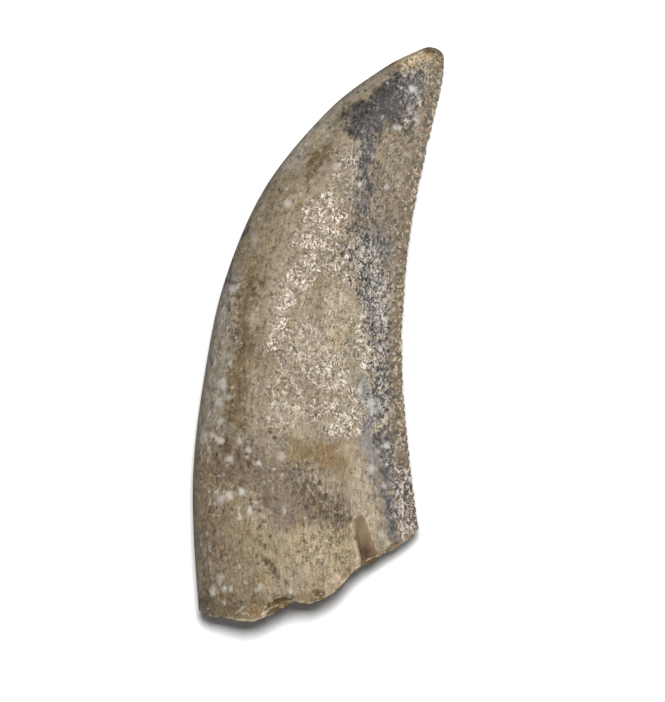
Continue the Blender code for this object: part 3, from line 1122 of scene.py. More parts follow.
UPPER_STAINS = stains(
    (Tone.OLIVE, ((-4.4, 3.5), (-2.4, 7.6), (0.6, 11.2), (3.2, 13.2)), 1.35, 1.0),
    (Tone.OLIVE_BROWN, ((-3.3, 3.0), (-2.2, 6.0), (-1.4, 7.6)), 0.85, 0.9, 0.65),
    (Tone.SILVER, ((-1.7, 9.0), (-0.4, 10.6), (0.8, 11.8)), 0.60, 0.9, 0.80),
    (Tone.SILVER, ((0.9, 12.0), (3.2, 13.7)), 0.45, 0.7, 0.55),
    (Tone.ASH, ((-4.7, 3.0), (-5.2, -1.0), (-5.7, -5.0)), 0.60, 0.6, 0.8),
    (Tone.BROWN, ((-3.6, 2.6), (-4.0, -1.5), (-4.5, -4.6)), 0.50, 0.7, 0.85),
    (Tone.GREY_BROWN, ((-6.3, -5.0), (-6.4, -13.8)), 0.50, 0.7, 0.12),
    (Tone.GREY_BROWN, ((-5.6, -9.8), (-5.3, -13.4)), 0.70, 1.2, 0.50),
    (Tone.GREY_BROWN, ((-5.4, -13.9), (-3.6, -13.7)), 0.70, 1.0, 0.75),
    (Tone.OLIVE_BROWN, ((-5.8, -6.8), (-5.8, -9.4)), 0.60, 0.9, 0.8),
    (Tone.BROWN, ((-5.8, -6.8), (-5.7, -9.6)), 0.80, 1.0, 0.22),
    (Tone.PURPLE_GREY, ((-4.2, -6.6), (-2.2, -7.4), (-1.4, -9.4)), 1.25, 1.2, 1.0),
    (Tone.YELLOW_TAN, ((-3.2, -10.6), (-2.6, -12.6)), 0.9, 1.0, 0.6),
    (Tone.OLIVE_BROWN, ((-4.4, -10.2), (-3.2, -11.4), (-4.0, -13.0)), 1.0, 1.0, 0.45),
    (Tone.TAN, ((0.0, 6.4), (-0.5, 2.0), (-0.8, -3.4)), 2.0, 1.2, 0.8),
    (Tone.OLIVE_BROWN, ((-2.6, -1.4), (-0.6, -3.2)), 1.1, 1.0, 0.9),
    (Tone.OLIVE_BROWN, ((1.0, 7.6), (0.4, 5.6), (-0.6, 1.6)), 1.5, 1.2, 0.70),
    (Tone.BROWN, ((-2.2, -1.6), (-0.8, -3.4)), 1.0, 1.0, 0.25),
    (Tone.GREY_BROWN, ((1.2, 8.6), (1.2, 6.6)), 0.8, 1.0, 0.30),
    (Tone.PALE_TAN, ((1.4, 1.5), (1.4, -4.4)), 1.2, 1.0, 0.22),
    (Tone.PALE_TAN, ((0.9, 1.9), (1.0, -0.5)), 0.55, 0.4, 0.85, 0.5),
    (Tone.GOLDEN, ((-1.4, -6.0), (1.6, -6.5)), 0.70, 0.8, 1.0),
    (Tone.GOLDEN, ((1.0, -6.8), (1.4, -7.6)), 0.40, 0.7, 0.7),
    (Tone.BROWN, ((-1.2, -7.6), (-0.2, -8.6), (1.0, -9.8)), 0.90, 0.9, 1.0, 0.8),
    (Tone.PALE_TAN, ((1.9, -6.4), (2.2, -8.0), (2.9, -9.6)), 0.75, 0.7, 0.9),
    (Tone.YELLOW_TAN, ((-0.9, -11.0), (1.1, -11.4), (0.3, -12.6)), 1.1, 1.1, 0.9),
    (Tone.GOLDEN, ((-3.4, -14.5), (-2.4, -14.4), (0.6, -13.2)), 0.32, 0.5, 0.8),
    (Tone.GREY_BROWN, ((-6.1, -14.2), (-4.4, -14.9)), 0.45, 0.5, 0.9, 0.6),
    (Tone.FLAKE, ((0.62, -13.3), (1.0, -12.95), (1.55, -12.5), (2.0, -12.1)), 0.34, 0.30, 1.0, 0.4),
    (Tone.STONE_GREY, ((2.7, 9.8), (3.1, 5.2)), 1.00, 1.0, 0.85),
    (Tone.GREY_BROWN, ((2.7, 8.2), (3.4, 5.6)), 0.75, 1.0, 0.80),
    (Tone.BLUE_GREY, ((2.4, 4.8), (1.5, 4.0)), 0.35, 0.6, 0.9, 1.4),
    (Tone.SMOKE, ((2.8, 10.6), (2.40, 8.6), (2.15, 6.6), (2.3, 5.0)), 0.30, 0.6, 0.95),
    (Tone.SLATE, ((2.90, 10.7), (2.55, 9.0)), 0.30, 0.5, 1.0),
    (Tone.NEAR_BLACK, ((2.32, 9.0), (2.15, 6.4)), 0.10, 0.30, 0.60, 0.5),
    (Tone.BLUE_GREY, ((3.3, 4.6), (2.7, 2.2), (3.0, 0.2)), 0.70, 0.8, 0.85, 1.4),
    (Tone.SMOKE, ((3.2, 4.2), (2.9, 2.2), (3.1, 0.0)), 0.50, 0.7, 0.45, 1.2),
    (Tone.SMOKE, ((3.2, 0.0), (3.35, -1.8), (3.5, -4.2)), 0.36, 0.6, 0.9),
    (Tone.SLATE, ((3.3, 0.0), (3.35, -1.8), (3.5, -3.4)), 0.30, 0.5, 0.60),
    (Tone.PALE_BLUE, ((2.4, -2.4), (2.7, -4.4), (3.0, -7.6)), 0.42, 0.7, 0.8),
    (Tone.STONE_GREY, ((3.1, -7.0), (3.7, -9.6)), 0.40, 0.6, 0.7),
    (Tone.BLUE_GREY, ((3.80, -7.2), (4.05, -10.8)), 0.42, 0.5, 0.85, 0.6),
    (Tone.SLATE, ((3.42, -5.4), (3.62, -7.0), (3.82, -8.6), (4.05, -10.0)), 0.20, 0.40, 0.95, 0.6),
    (Tone.SLATE, ((2.30, 11.0), (3.0, 11.5), (3.9, 12.3), (4.6, 12.8)), 1.00, 0.7, 1.0, 0.5),
    (Tone.NEAR_BLACK, ((2.6, 11.1), (4.0, 12.3)), 0.60, 1.2, 0.45, 0.8),
    (Tone.SMOKE, ((4.9, 12.7), (5.0, 11.6), (4.8, 11.0)), 0.50, 0.6, 0.80),
    (Tone.BLUE_GREY, ((5.0, 12.7), (5.1, 11.6), (4.9, 11.0)), 0.40, 0.6, 0.60),
    (Tone.GREY_BROWN, ((3.7, 10.2), (3.9, 7.4)), 0.60, 0.9, 0.32),
    (Tone.GREY_BROWN, ((3.7, 7.0), (4.1, 5.4)), 0.55, 0.8, 0.65),
    (Tone.RED_BROWN, ((4.75, -8.0), (4.90, -10.6)), 0.42, 0.5, 0.75, 0.8),
    (Tone.BROWN, ((0.6, 9.6), (-0.2, 8.7), (-0.6, 7.8)), 0.28, 0.5, 1.0),
    (Tone.OCHRE, ((4.6, 14.5), (6.4, 14.5)), 0.50, 0.5, 0.95),
    (Tone.NEAR_BLACK, ((-4.9, 2.6), (-4.6, 4.2), (-4.05, 5.7)), 0.12, 0.4, 0.8, 0.6),
)


@dataclass(frozen=True)
class Specks:
    """Small pale specks: how likely they are everywhere, and where they gather.

    The strength of each area says how many it has.
    """

    tone: Tone
    scale: float
    radius: float
    everywhere: float
    strength: float
    gathered: tuple[Area, ...]


@dataclass(frozen=True)
class Pores:
    """Small dark holes of one colour. The strength of each area says how many it has."""

    tone: Tone
    grain: Grain
    strength: float
    gathered: tuple[Area, ...]


@dataclass(frozen=True)
class Dot:
    """One pale speck that stands out: where it is, how wide, how long for its width, how clear."""

    x: float
    y: float
    radius: float
    stretch: float
    strength: float


PORE_STRETCH = (1.0, 0.55, 1.0)
PALE_DOTS = each(
    Dot,
    (-3.99, -8.23, 0.20, 1.2, 0.70), (-4.61, -8.43, 0.19, 1.3, 0.70), (-5.07, -8.60, 0.24, 1.3, 0.45),
    (-4.12, -9.48, 0.14, 2.0, 0.65), (-3.58, -9.22, 0.15, 1.7, 0.60), (-3.27, -8.76, 0.12, 1.0, 0.55),
    (-4.12, -5.56, 0.21, 1.2, 0.55), (-3.66, -6.08, 0.17, 1.0, 0.60), (-4.64, -6.50, 0.20, 1.0, 0.60),
    (-3.14, -6.73, 0.15, 1.0, 0.70), (-1.96, -6.40, 0.24, 1.3, 0.40), (-2.29, -7.02, 0.10, 1.0, 0.60),
    (-5.95, -5.36, 0.20, 1.3, 0.45), (-5.56, -5.25, 0.17, 1.2, 0.50), (-5.10, -5.56, 0.17, 1.1, 0.60),
    (-5.10, -4.57, 0.17, 1.2, 0.50), (-1.80, -9.20, 0.12, 2.0, 0.45), (-5.49, -13.4, 0.18, 1.5, 0.65),
    (-5.10, -12.7, 0.19, 1.4, 0.45), (-4.90, -13.3, 0.17, 1.2, 0.50), (-4.55, -13.3, 0.14, 1.3, 0.55),
    (-3.04, -13.2, 0.24, 0.9, 0.45), (-1.45, -13.4, 0.15, 0.9, 0.55), (-5.75, -14.3, 0.06, 1.0, 0.90),
    (3.62, -11.05, 0.22, 1.2, 0.45), (3.29, -10.50, 0.22, 1.0, 0.45), (3.52, -5.85, 0.17, 1.0, 0.75),
    (2.74, -7.06, 0.22, 1.2, 0.45), (3.56, -6.80, 0.09, 1.0, 0.70), (3.41, -7.97, 0.16, 1.2, 0.55),
    (-4.50, 2.34, 0.26, 0.9, 0.55), (-1.63, 6.84, 0.18, 1.1, 0.55), (-3.35, 4.87, 0.28, 1.3, 0.25),
    (-4.99, -2.60, 0.20, 2.0, 0.45), (-4.66, -3.30, 0.17, 1.0, 0.45), (-5.20, -3.60, 0.20, 1.2, 0.45),
    (2.10, -2.97, 0.20, 1.0, 0.70), (2.73, -3.62, 0.19, 1.2, 0.75), (3.99, 3.65, 0.15, 1.3, 0.55),
    (4.88, 12.80, 0.18, 1.2, 0.85), (5.16, 11.20, 0.20, 1.4, 0.60), (4.56, 11.15, 0.13, 1.0, 0.85),
    (4.06, 10.80, 0.18, 1.1, 0.60), (4.60, 9.40, 0.14, 1.2, 0.50), (3.51, 7.66, 0.16, 1.2, 0.55),
    (2.13, 7.80, 0.12, 1.0, 0.80), (0.89, 8.72, 0.22, 1.0, 0.40), (5.30, 12.10, 0.12, 1.0, 0.80),
    (4.95, 13.70, 0.14, 1.0, 0.60), (4.50, 13.50, 0.13, 1.0, 0.60), (4.30, 12.90, 0.10, 1.0, 0.75),
)
WHITE_SPECKS = Specks(
    Tone.WHITE, 2.6, 0.42, 0.015, 0.50,
    each(
        Area,
        (((4.3, 13.2), (5.0, 12.3), (4.6, 11.2)), 0.60, 0.6, 0.55),
        (((-5.6, -5.6), (-4.6, -7.0)), 0.80, 0.6, 0.60),
        (((-5.1, -8.4), (-4.2, -9.4)), 0.55, 0.5, 0.45),
        (((-4.7, 2.6), (-5.2, -1.6), (-5.6, -5.4)), 0.45, 0.5, 0.65),
        (((-5.4, -12.0), (-4.4, -13.4)), 0.80, 0.7, 0.60),
        (((2.3, -2.8), (2.9, -4.2), (3.2, -6.8)), 0.40, 0.5, 0.65),
        (((3.4, -8.0), (3.6, -9.8), (4.9, -9.2)), 0.50, 0.5, 0.65),
        (((-3.6, -6.2), (-1.6, -7.0)), 0.60, 0.6, 0.45),
        (((-1.8, 8.4), (-0.4, 10.4)), 0.60, 0.6, 0.30),
        (((4.2, 9.6), (4.6, 7.2)), 0.35, 0.6, 0.30),
    ),
)
FINE_SPECKS = Specks(
    Tone.CREAM, 4.2, 0.38, 0.10, 0.55,
    each(
        Area,
        (((3.8, 13.4), (5.6, 13.6), (5.2, 11.0)), 0.7, 0.6, 0.55),
        (((2.0, 10.6), (1.6, 9.4)), 0.55, 0.6, 0.65),
        (((4.2, 9.8), (4.4, 7.0)), 0.50, 0.5, 0.50),
        (((-5.0, 2.0), (-5.8, -6.0), (-5.6, -13.4)), 0.65, 0.7, 0.50),
        (((-4.4, -6.0), (-2.6, -9.4)), 1.1, 0.7, 0.35),
        (((3.1, 4.0), (3.2, 0.0), (3.4, -4.5)), 0.60, 0.6, 0.65),
        (((4.3, -7.4), (4.8, -9.9)), 0.50, 0.5, 0.90),
    ),
)
BLACK_PORES = Pores(
    Tone.NEAR_BLACK, Grain(4.2, 2.0, 0.55, 0.0, PORE_STRETCH), 0.8,
    each(
        Area,
        (((1.5, 4.0), (2.5, 2.8), (3.1, 1.2)), 0.60, 0.7, 1.0),
        (((2.9, 1.6), (3.3, -1.2), (3.3, -4.0)), 0.50, 0.6, 0.9),
        (((2.5, 10.4), (2.2, 7.6), (2.3, 5.0)), 0.30, 0.5, 1.0),
        (((2.0, 11.3), (3.8, 12.6)), 0.8, 0.7, 0.6),
        (((3.6, -5.6), (4.3, -9.8)), 0.35, 0.5, 1.0),
        (((4.6, -8.4), (4.9, -10.0)), 0.50, 0.5, 0.8),
    ),
)
BROWN_PORES = Pores(
    Tone.DARK_BROWN, Grain(3.4, 2.0, 0.55, 0.0, PORE_STRETCH), 0.65,
    each(
        Area,
        (((-1.0, -7.4), (0.8, -9.9)), 0.8, 0.7, 0.95),
        (((-3.0, -10.8), (-1.8, -13.0)), 0.6, 0.6, 0.50),
        (((-1.4, -10.6), (1.6, -12.2)), 0.9, 0.8, 0.40),
        (((-3.6, -4.4), (-1.2, -5.4)), 0.50, 0.6, 0.90),
        (((-4.6, 2.6), (-4.6, -4.8), (-5.4, -9.0)), 0.40, 0.6, 0.55),
        (((-3.8, -6.8), (-2.4, -9.6)), 0.9, 0.6, 0.60),
        (((0.4, 5.6), (1.2, 3.4)), 0.60, 0.6, 0.60),
    ),
)
# Areas of the upper face where glints, a highlight, are painted into the colour.
PAINTED_GLINT_PATCH = each(
    Area,
    (((1.5, 8.6), (0.8, 6.8)), 0.75, 0.5, 0.5, 1.3),
    (((0.4, 6.2), (-0.1, 4.6)), 1.15, 0.4, 1.0, 1.3),
    (((-0.3, 4.2), (-1.5, 2.2)), 0.80, 0.4, 1.0, 1.3),
    (((-1.7, 1.8), (-2.2, -0.6)), 0.50, 0.4, 1.0, 1.3),
    (((-0.6, -0.4), (-1.6, -3.8)), 1.25, 0.5, 0.50, 1.3),
    (((1.0, 4.0), (1.4, 2.9)), 0.80, 0.5, 0.9, 1.3),
    (((0.4, -1.9), (1.4, -4.6)), 1.20, 0.5, 0.95, 1.3),
    (((2.2, 0.6), (2.5, -1.4)), 0.60, 0.5, 0.85, 1.3),
    (((3.0, 3.4), (3.5, 0.6), (3.6, -3.0)), 0.40, 0.5, 0.6, 1.3),
)
NOTCH_STAINS = stains(
    (Tone.CHIP_BROWN, ((2.35, -11.3), (2.75, -11.5)), 0.42, 0.6, 0.75, 0.5),
    (Tone.RED_BROWN, ((2.44, -11.15), (2.46, -11.75)), 0.26, 0.35, 0.95, 0.5),
    (Tone.DARK_BROWN, ((2.44, -11.35), (2.50, -11.60)), 0.18, 0.25, 0.90, 0.5),
)
# Thin lines at the damage: pale crack and lip lines, with painted shade on two chips' upper walls and painted
# highlights along the notch's edges.
DAMAGE_LINES_AND_PAINTED_LIGHT = stains(
    (Tone.WHITE, ((4.30, -8.2), (4.40, -9.1), (4.34, -9.9), (4.42, -10.8)), 0.035, 0.05, 0.65, 0.30),
    (Tone.CREAM, ((-2.97, -14.60), (-2.30, -14.22), (-1.66, -14.00), (-1.15, -13.80)), 0.06, 0.08, 0.75, 0.2),
    (Tone.CREAM, ((-4.33, -14.52), (-4.10, -14.42), (-3.91, -14.20)), 0.045, 0.08, 0.50, 0.2),
    (Tone.CREAM, ((-3.95, -14.58), (-3.72, -14.52), (-3.60, -14.72)), 0.035, 0.07, 0.42, 0.2),
    (Tone.CREAM, ((-0.58, -13.50), (-0.25, -13.22), (0.15, -13.26), (0.40, -13.48)), 0.04, 0.08, 0.45, 0.2),
    # The next two lines are painted shade on the upper walls of the two rim chips.
    (Tone.CHIP_BROWN, ((-0.40, -13.48), (-0.10, -13.36), (0.28, -13.46)), 0.14, 0.16, 0.75, 0.3),
    (Tone.CHIP_BROWN, ((-2.10, -13.86), (-1.60, -13.72), (-1.20, -13.84)), 0.16, 0.20, 0.80, 0.3),
    (Tone.CREAM, ((0.75, -13.68), (1.11, -13.34), (1.43, -12.84), (1.76, -12.42)), 0.07, 0.10, 0.75, 0.2),
    (Tone.RED_BROWN, ((0.98, -13.10), (1.24, -12.60), (1.63, -12.30)), 0.05, 0.12, 0.50, 0.3),
    # Painted highlight along the notch's left edge.
    (Tone.CREAM, ((1.70, -9.90), (1.92, -10.9), (2.06, -11.7)), 0.060, 0.10, 0.45, 0.2),
    (Tone.CREAM, ((1.75, -9.75), (2.10, -9.15), (2.35, -9.45)), 0.030, 0.06, 0.50, 0.2),
    # Painted highlight along the notch's right edge.
    (Tone.CREAM, ((2.45, -9.60), (2.80, -10.7), (3.12, -11.5)), 0.030, 0.06, 0.50, 0.2),
    (Tone.CREAM, ((0.42, -13.50), (0.38, -12.95), (0.90, -12.60), (1.40, -12.36)), 0.050, 0.08, 0.60, 0.2),
)
GREY_GLINTS = each(
    Area,
    (((2.2, 4.4), (2.9, 2.6), (3.1, 0.6)), 0.75, 0.6, 0.62, 1.2),
    (((3.3, 0.6), (3.5, -1.6), (3.7, -4.0)), 0.40, 0.5, 0.55, 1.2),
    (((2.9, 7.6), (3.4, 5.2)), 0.70, 0.8, 0.25, 1.2),
    (((3.8, -6.2), (4.3, -9.6)), 0.45, 0.5, 0.35, 1.2),
)
CORNER = (Area(((4.45, -7.2), (4.80, -10.4)), 0.55, 0.5, 1.0, 0.8),)
SMOOTH_WINDOW = Area(((0.9, 1.7), (1.0, -0.4)), 0.50, 0.4, 0.9, 0.5)
THREADED = each(
    Area,
    (((2.6, 10.2), (2.9, 7.4), (3.1, 5.0)), 1.10, 0.8, 1.0),
    (((3.0, 4.6), (3.5, 0.0), (3.6, -5.0)), 0.50, 0.6, 0.45),
    (((1.8, -6.0), (3.6, -9.6)), 1.20, 0.8, 0.35),
    (((-2.0, -10.6), (1.2, -11.6)), 1.40, 1.0, 0.30),
)
LIVELY = each(
    Area,
    (((5.0, 13.9), (4.8, 11.4)), 0.90, 0.8, 0.85),
    (((2.2, 11.0), (4.2, 12.6)), 0.70, 0.8, 0.30),
    (((2.4, 10.2), (2.3, 6.0), (1.6, 4.0)), 0.80, 0.8, 0.60),
    (((3.9, 10.0), (3.9, 6.0)), 0.70, 0.8, 0.42),
    (((2.6, 4.4), (3.0, 2.0), (3.3, -1.0), (3.5, -4.6)), 0.85, 0.7, 1.0),
    (((3.6, -5.6), (4.3, -9.0)), 0.45, 0.6, 0.50),
    (((4.5, -7.6), (4.7, -10.4)), 0.65, 0.6, 1.0),
    (((-1.2, -7.4), (1.0, -9.8)), 0.80, 0.8, 0.45),
    (((-0.4, -11.2), (1.0, -11.6)), 1.00, 1.0, 0.30),
    (((0.9, 1.6), (1.0, -0.8)), 0.80, 0.6, 0.35),
)


class Skin:
    """What every layer of the finish reads: attributes, places, noises and tones.

    Places are in millimetres, flat and warped ones with z at 0, and noises are around 0.
    """

    def __init__(self, tree: NodeTree, gain: float) -> None:
        """Adds the nodes that the layers share.

        Args:
            tree: The material's tree.
            gain: How bright the tones are for the studio's light.
        """
        self.tree = tree
        self.gain = gain
        self.masks = {name: self._attribute(name, "Fac") for name in MASKS}
        self.masks["upness"] = self.masks["upness"].ramp(0.22, 0.58)
        flow = self._attribute("flow", "Vector")
        self.where = tree.scaled(tree.output(tree.node("ShaderNodeTexCoord"), "Object"), 1 / MM)
        self.flat = tree.vector("MULTIPLY", self.where, (1.0, 1.0, 0.0))
        self.warped = tree.vector("MULTIPLY_ADD", self._shake(SLOW_SHAKE), (2.0, 2.0, 0.0), self.flat)
        self.shaken = self._shake(QUICK_SHAKE)
        leaning = tree.node("ShaderNodeVectorRotate", {"rotation_type": "Z_AXIS"}, self.where, Angle=0.12)
        self.cloud = tree.grain(self.where, CLOUD)
        self.wander, self.fine, self.grit, self.flecks, self.curls = (
            tree.grain(self.where, kind) - 0.5 for kind in (WANDER, FINE, GRIT, FLECKS, CURLS)
        )
        self.threads = tree.grain(leaning, THREADS) - 0.5
        self.streaks, self.fibre = (tree.grain(flow, kind) - 0.5 for kind in (STREAKS, FIBRE))
        self.ragged = self.wander * 1.3 + self.fine * 0.9

    def _attribute(self, name: str, output: str) -> Sock:
        """One output of an attribute of the piece."""
        return self.tree.output(self.tree.node("ShaderNodeAttribute", {"attribute_name": name}), output)

    def _shake(self, kind: Grain) -> Sock:
        """A vector of noise around 0."""
        noises = self.tree.output(self.tree.grain(self.where, kind), "Color")
        return self.tree.vector("SUBTRACT", noises, (0.5, 0.5, 0.5))

    def tone(self, tone: Tone) -> tuple[float, float, float, float]:
        """A tone as the shader's own colour."""
        red, green, blue, alpha = linear(tone.value)
        return (red * self.gain, green * self.gain, blue * self.gain, alpha)

    def lay(self, base: Tone | Sock, *layers: tuple[Sock | float, Tone | Sock]) -> Sock:
        """Lays colours over another, one after another.

        Args:
            base: The lowest colour.
            *layers: How much each one covers, from 0 to 1, and the colour itself.

        Returns:
            The colour that shows.
        """
        colour: Any = self.tone(base) if isinstance(base, Tone) else base
        for share, over in layers:
            colour = self.tree.mix(share, colour, self.tone(over) if isinstance(over, Tone) else over)
        return colour

    def _gap(self, where: Sock, path: Sequence[Point]) -> Sock:
        """How far a place is from a path, seen from above.

        Args:
            where: The place in millimetres, with z at 0.
            path: The path's points.

        Returns:
            The distance in millimetres.
        """
        tree, nearest = self.tree, None
        for start, end in zip(path, path[1:]):
            way = np.array(end) - np.array(start)
            off = tree.vector("SUBTRACT", where, (*start, 0.0))
            unit = way / float(way @ way)
            dot = tree.output(tree.vector("DOT_PRODUCT", off, (*unit, 0.0)), "Value")
            reach = tree.scaled((*way, 0.0), tree.node("ShaderNodeClamp", None, dot))
            gap = tree.output(tree.vector("DISTANCE", off, reach), "Value")
            nearest = gap if nearest is None else nearest.least(gap)
        return nearest

    def area(self, area: Area, wander: Sock | None = None, where: Sock | None = None) -> Sock:
        """How strong an area is.

        Args:
            area: The area.
            wander: Noise around 0 that moves its border, the ragged one if it isn't given.
            where: The place in millimetres with z at 0, the flat one if it isn't given.

        Returns:
            Its strength at the place.
        """
        gap = self._gap(where or self.flat, area.path) + (wander or self.ragged) * area.raggedness
        half = area.softness / 2
        return gap.ramp(area.half_width + half, area.half_width - half) * area.strength

    def upper(self, areas: Sequence[Area]) -> Sock:
        """The strongest of several areas, on the upper face only.

        Args:
            areas: The areas.

        Returns:
            The strength.
        """
        strongest = self.area(areas[0])
        for area in areas[1:]:
            strongest = strongest.most(self.area(area))
        return strongest * self.masks["upness"]


@dataclass(frozen=True)
class EnamelFinish:
    """Glossy, mottled fossil enamel, with a patch of glints in the middle of the upper face: a highlight
    painted into the colour, over lower roughness and finer bump.
    """

    gain: float = 0.55
    roughness: float = 0.40
    glint_patch_roughness: float = 0.26
    broken_roughness: float = 0.75
    chip_roughness_share: float = 0.5
    ior: float = 1.55
    bump_distance: float = 0.05
    mottling: float = 1.30
    warm_tint: tuple[float, float, float, float] = (0.92, 0.84, 0.72, 1.0)
    cool_tint: tuple[float, float, float, float] = (0.90, 0.93, 1.0, 1.0)
    thread_strength: float = 1.5
    pore_density: float = 0.15
    # Painted sheen: how strongly pale flakes are laid over the glint patch.
    painted_sheen_strength: float = 0.40
    glint_strength: float = 0.95
    grey_glint_strength: float = 0.75
    corner_strength: float = 0.90
    corner_glint_strength: float = 0.55
    dot_strength: float = 0.92
    carina_strength: float = 0.68
    growth_rings: float = 60.0

    def build(self) -> bpy.types.Material:
        """Makes the material.

        Returns:
            The enamel, with its broken base and chips in the same tree.
        """
        material = bpy.data.materials.new("fossil_enamel_worn")
        material.use_nodes = True
        tree = NodeTree(material.node_tree)
        skin = Skin(tree, self.gain)
        masks, fine, grit, flecks = skin.masks, skin.fine, skin.grit, skin.flecks
        painted_glint_patch = self._painted_glint_patch(skin)
        carina = (masks["edge_mm"] + skin.wander * 0.8).ramp(0.95, 0.35) * (1 - masks["broken"])
        blotch = tree.grain(skin.where, BLOTCHES).ramp(0.38, 0.54)
        lively = skin.upper(LIVELY).most(painted_glint_patch * (0.25 + 0.45 * blotch)).most(carina * 0.85)
        # Painted glints, a highlight laid into the colour, in blotches over their patch.
        glitter = painted_glint_patch * (0.12 + 0.88 * blotch)
        worms = abs(skin.curls).ramp(0.125, 0.045) * (grit + flecks * 0.8).ramp(-0.14, 0.04)
        glints = (flecks + fine * 0.5).ramp(0.04, 0.15) * (1 - masks["broken"])

        colour = tree.mix(masks["upness"], self._hidden_side(skin), self._upper_side(skin))
        colour = self._mottled(skin, colour, lively, painted_glint_patch)
        for kind in (BROWN_PORES, BLACK_PORES):
            holes = tree.grain(skin.where, kind.grain) + skin.upper(kind.gathered) * self.pore_density
            colour = skin.lay(colour, (holes.ramp(0.65, 0.74) * kind.strength, kind.tone))
        # Pale flakes and GLINT worms over the glint patch are a painted highlight.
        colour = skin.lay(
            colour,
            (glitter * (flecks + fine).ramp(-0.10, 0.14) * self.painted_sheen_strength, Tone.FLAKE),
            (glitter * worms * self.glint_strength, Tone.GLINT),
            (skin.upper(GREY_GLINTS) * worms * self.grey_glint_strength, Tone.WHITE),
            (glints * (0.05 + (lively - painted_glint_patch * 0.6) * 0.18), Tone.WHITE),
            *((self._specks(skin, kind), kind.tone) for kind in (FINE_SPECKS, WHITE_SPECKS)),
            (self._dots(skin) * masks["upness"], Tone.WHITE),
        )
        corner = skin.upper(CORNER)
        colour = skin.lay(
            self._carina(skin, colour, carina),
            (corner * (flecks + grit).ramp(0.10, -0.06) * self.corner_strength, Tone.EARTH),
            (corner * worms * self.corner_glint_strength, Tone.WHITE),
        )
        colour = self._damage(skin, colour)

        rough = masks["broken"].most(masks["scoop"] * self.chip_roughness_share)
        roughness = self.roughness + (self.glint_patch_roughness - self.roughness) * painted_glint_patch + fine * 0.3
        roughness = roughness + rough * (self.broken_roughness - self.roughness)
        height = self._height(skin, painted_glint_patch, worms * glitter)
        distance = self.bump_distance * MM
        bump = tree.node("ShaderNodeBump", None, Strength=1.0, Distance=distance, Height=height)
        shader = tree.node(
            "ShaderNodeBsdfPrincipled", None,
            Base_Color=colour, Roughness=roughness, IOR=self.ior, Normal=bump,
        )
        tree.node("ShaderNodeOutputMaterial", None, shader)
        return material

    def _hidden_side(self, skin: Skin) -> Sock:
        """Colours of the face that the tooth lies on."""
        return skin.lay(
            Tone.TAN,
            (skin.cloud.ramp(0.38, 0.62), Tone.OLIVE_BROWN),
            (skin.cloud.ramp(0.56, 0.72) * 0.8, Tone.GREY_BROWN),
            (skin.streaks.ramp(0.08, 0.24) * 0.6, Tone.BLUE_GREY),
        )

    def _upper_side(self, skin: Skin) -> Sock:
        """Colours of the upper face, laid on one after another."""
        stained = ((skin.area(stain.area, where=skin.warped), stain.tone) for stain in UPPER_STAINS)
        return skin.lay(Tone.TAN, (skin.cloud.ramp(0.35, 0.65), Tone.OLIVE), *stained)

    def _mottled(self, skin: Skin, colour: Sock, lively: Sock, painted_glint_patch: Sock) -> Sock:
        """Mottling of every size over the colours.

        Args:
            skin: What the layers share.
            colour: The colour so far.
            lively: How strong the finest texture is.
            painted_glint_patch: Where glints, a painted highlight, are laid on the colour.

        Returns:
            The colour.
        """
        tree = skin.tree
        warmth = tree.grain(skin.where, WARMTH)
        colour = tree.multiply(warmth.ramp(0.52, 0.72), colour, self.warm_tint)
        colour = tree.multiply(warmth.ramp(0.40, 0.26), colour, self.cool_tint)
        fibre = skin.fibre + skin.threads * skin.upper(THREADED) * self.thread_strength
        light = (skin.wander + skin.fine + skin.streaks * 0.9) * (0.8 + lively * 0.3)
        light = light + skin.grit * (0.8 + lively * 1.7)
        light = light + fibre * (0.9 + (lively - painted_glint_patch) * 1.5) + skin.flecks * (0.3 + lively * 2.3)
        return tree.lit(colour, (light * self.mottling + 1.0).most(0.22 + painted_glint_patch * 0.36))

    def _painted_glint_patch(self, skin: Skin) -> Sock:
        """Where glints, a highlight, are painted into the upper face's colour, above a ragged border below: 1
        there, else 0.
        """
        y = skin.tree.output(skin.tree.node("ShaderNodeSeparateXYZ", None, skin.flat), "Y")
        patch = skin.upper(PAINTED_GLINT_PATCH) * (1 - skin.area(SMOOTH_WINDOW))
        return patch * (y + skin.ragged * 0.5).ramp(-5.6, -5.1) * skin.masks["edge_mm"].ramp(0.5, 1.0)

    def _specks(self, skin: Skin, kind: Specks) -> Sock:
        """Where soft round specks of one kind show.

        Args:
            skin: What the layers share.
            kind: The kind of speck.

        Returns:
            Their strength at the place.
        """
        tree = skin.tree
        place = tree.vector("MULTIPLY_ADD", skin.shaken, (0.22, 0.22, 0.22), skin.where)
        place = tree.vector("MULTIPLY", place, (1.0, 0.78, 1.0))
        cells = tree.node(
            "ShaderNodeTexVoronoi", {"feature": "F1"}, Vector=place, Scale=kind.scale, Randomness=1.0
        )
        chance = tree.node("ShaderNodeSeparateColor", None, tree.output(cells, "Color"))
        size, opacity = tree.output(chance, "Green"), tree.output(chance, "Blue")
        inside = (kind.radius * (0.5 + 0.5 * size) - cells).ramp(-0.10, 0.20)
        here = (skin.upper(kind.gathered).most(kind.everywhere) - chance).ramp(0.0, 0.03)
        return inside * here * (0.45 + 0.55 * opacity) * kind.strength

    def _dots(self, skin: Skin) -> Sock:
        """Where the pale dots that stand out lie."""
        tree = skin.tree
        where = tree.vector("MULTIPLY_ADD", skin.shaken, (0.30, 0.30, 0.0), skin.flat)
        strongest: Sock | float = 0.0
        for dot in PALE_DOTS:
            off = tree.vector("SUBTRACT", where, (dot.x, dot.y, 0.0))
            shaped = tree.vector("MULTIPLY", off, (1.0, 1 / dot.stretch, 0.0))
            gap = tree.output(tree.vector("LENGTH", shaped), "Value")
            inside = gap.ramp(1.50 * dot.radius, 0.1 * dot.radius)
            strongest = (inside * dot.strength * self.dot_strength).most(strongest)
        return strongest

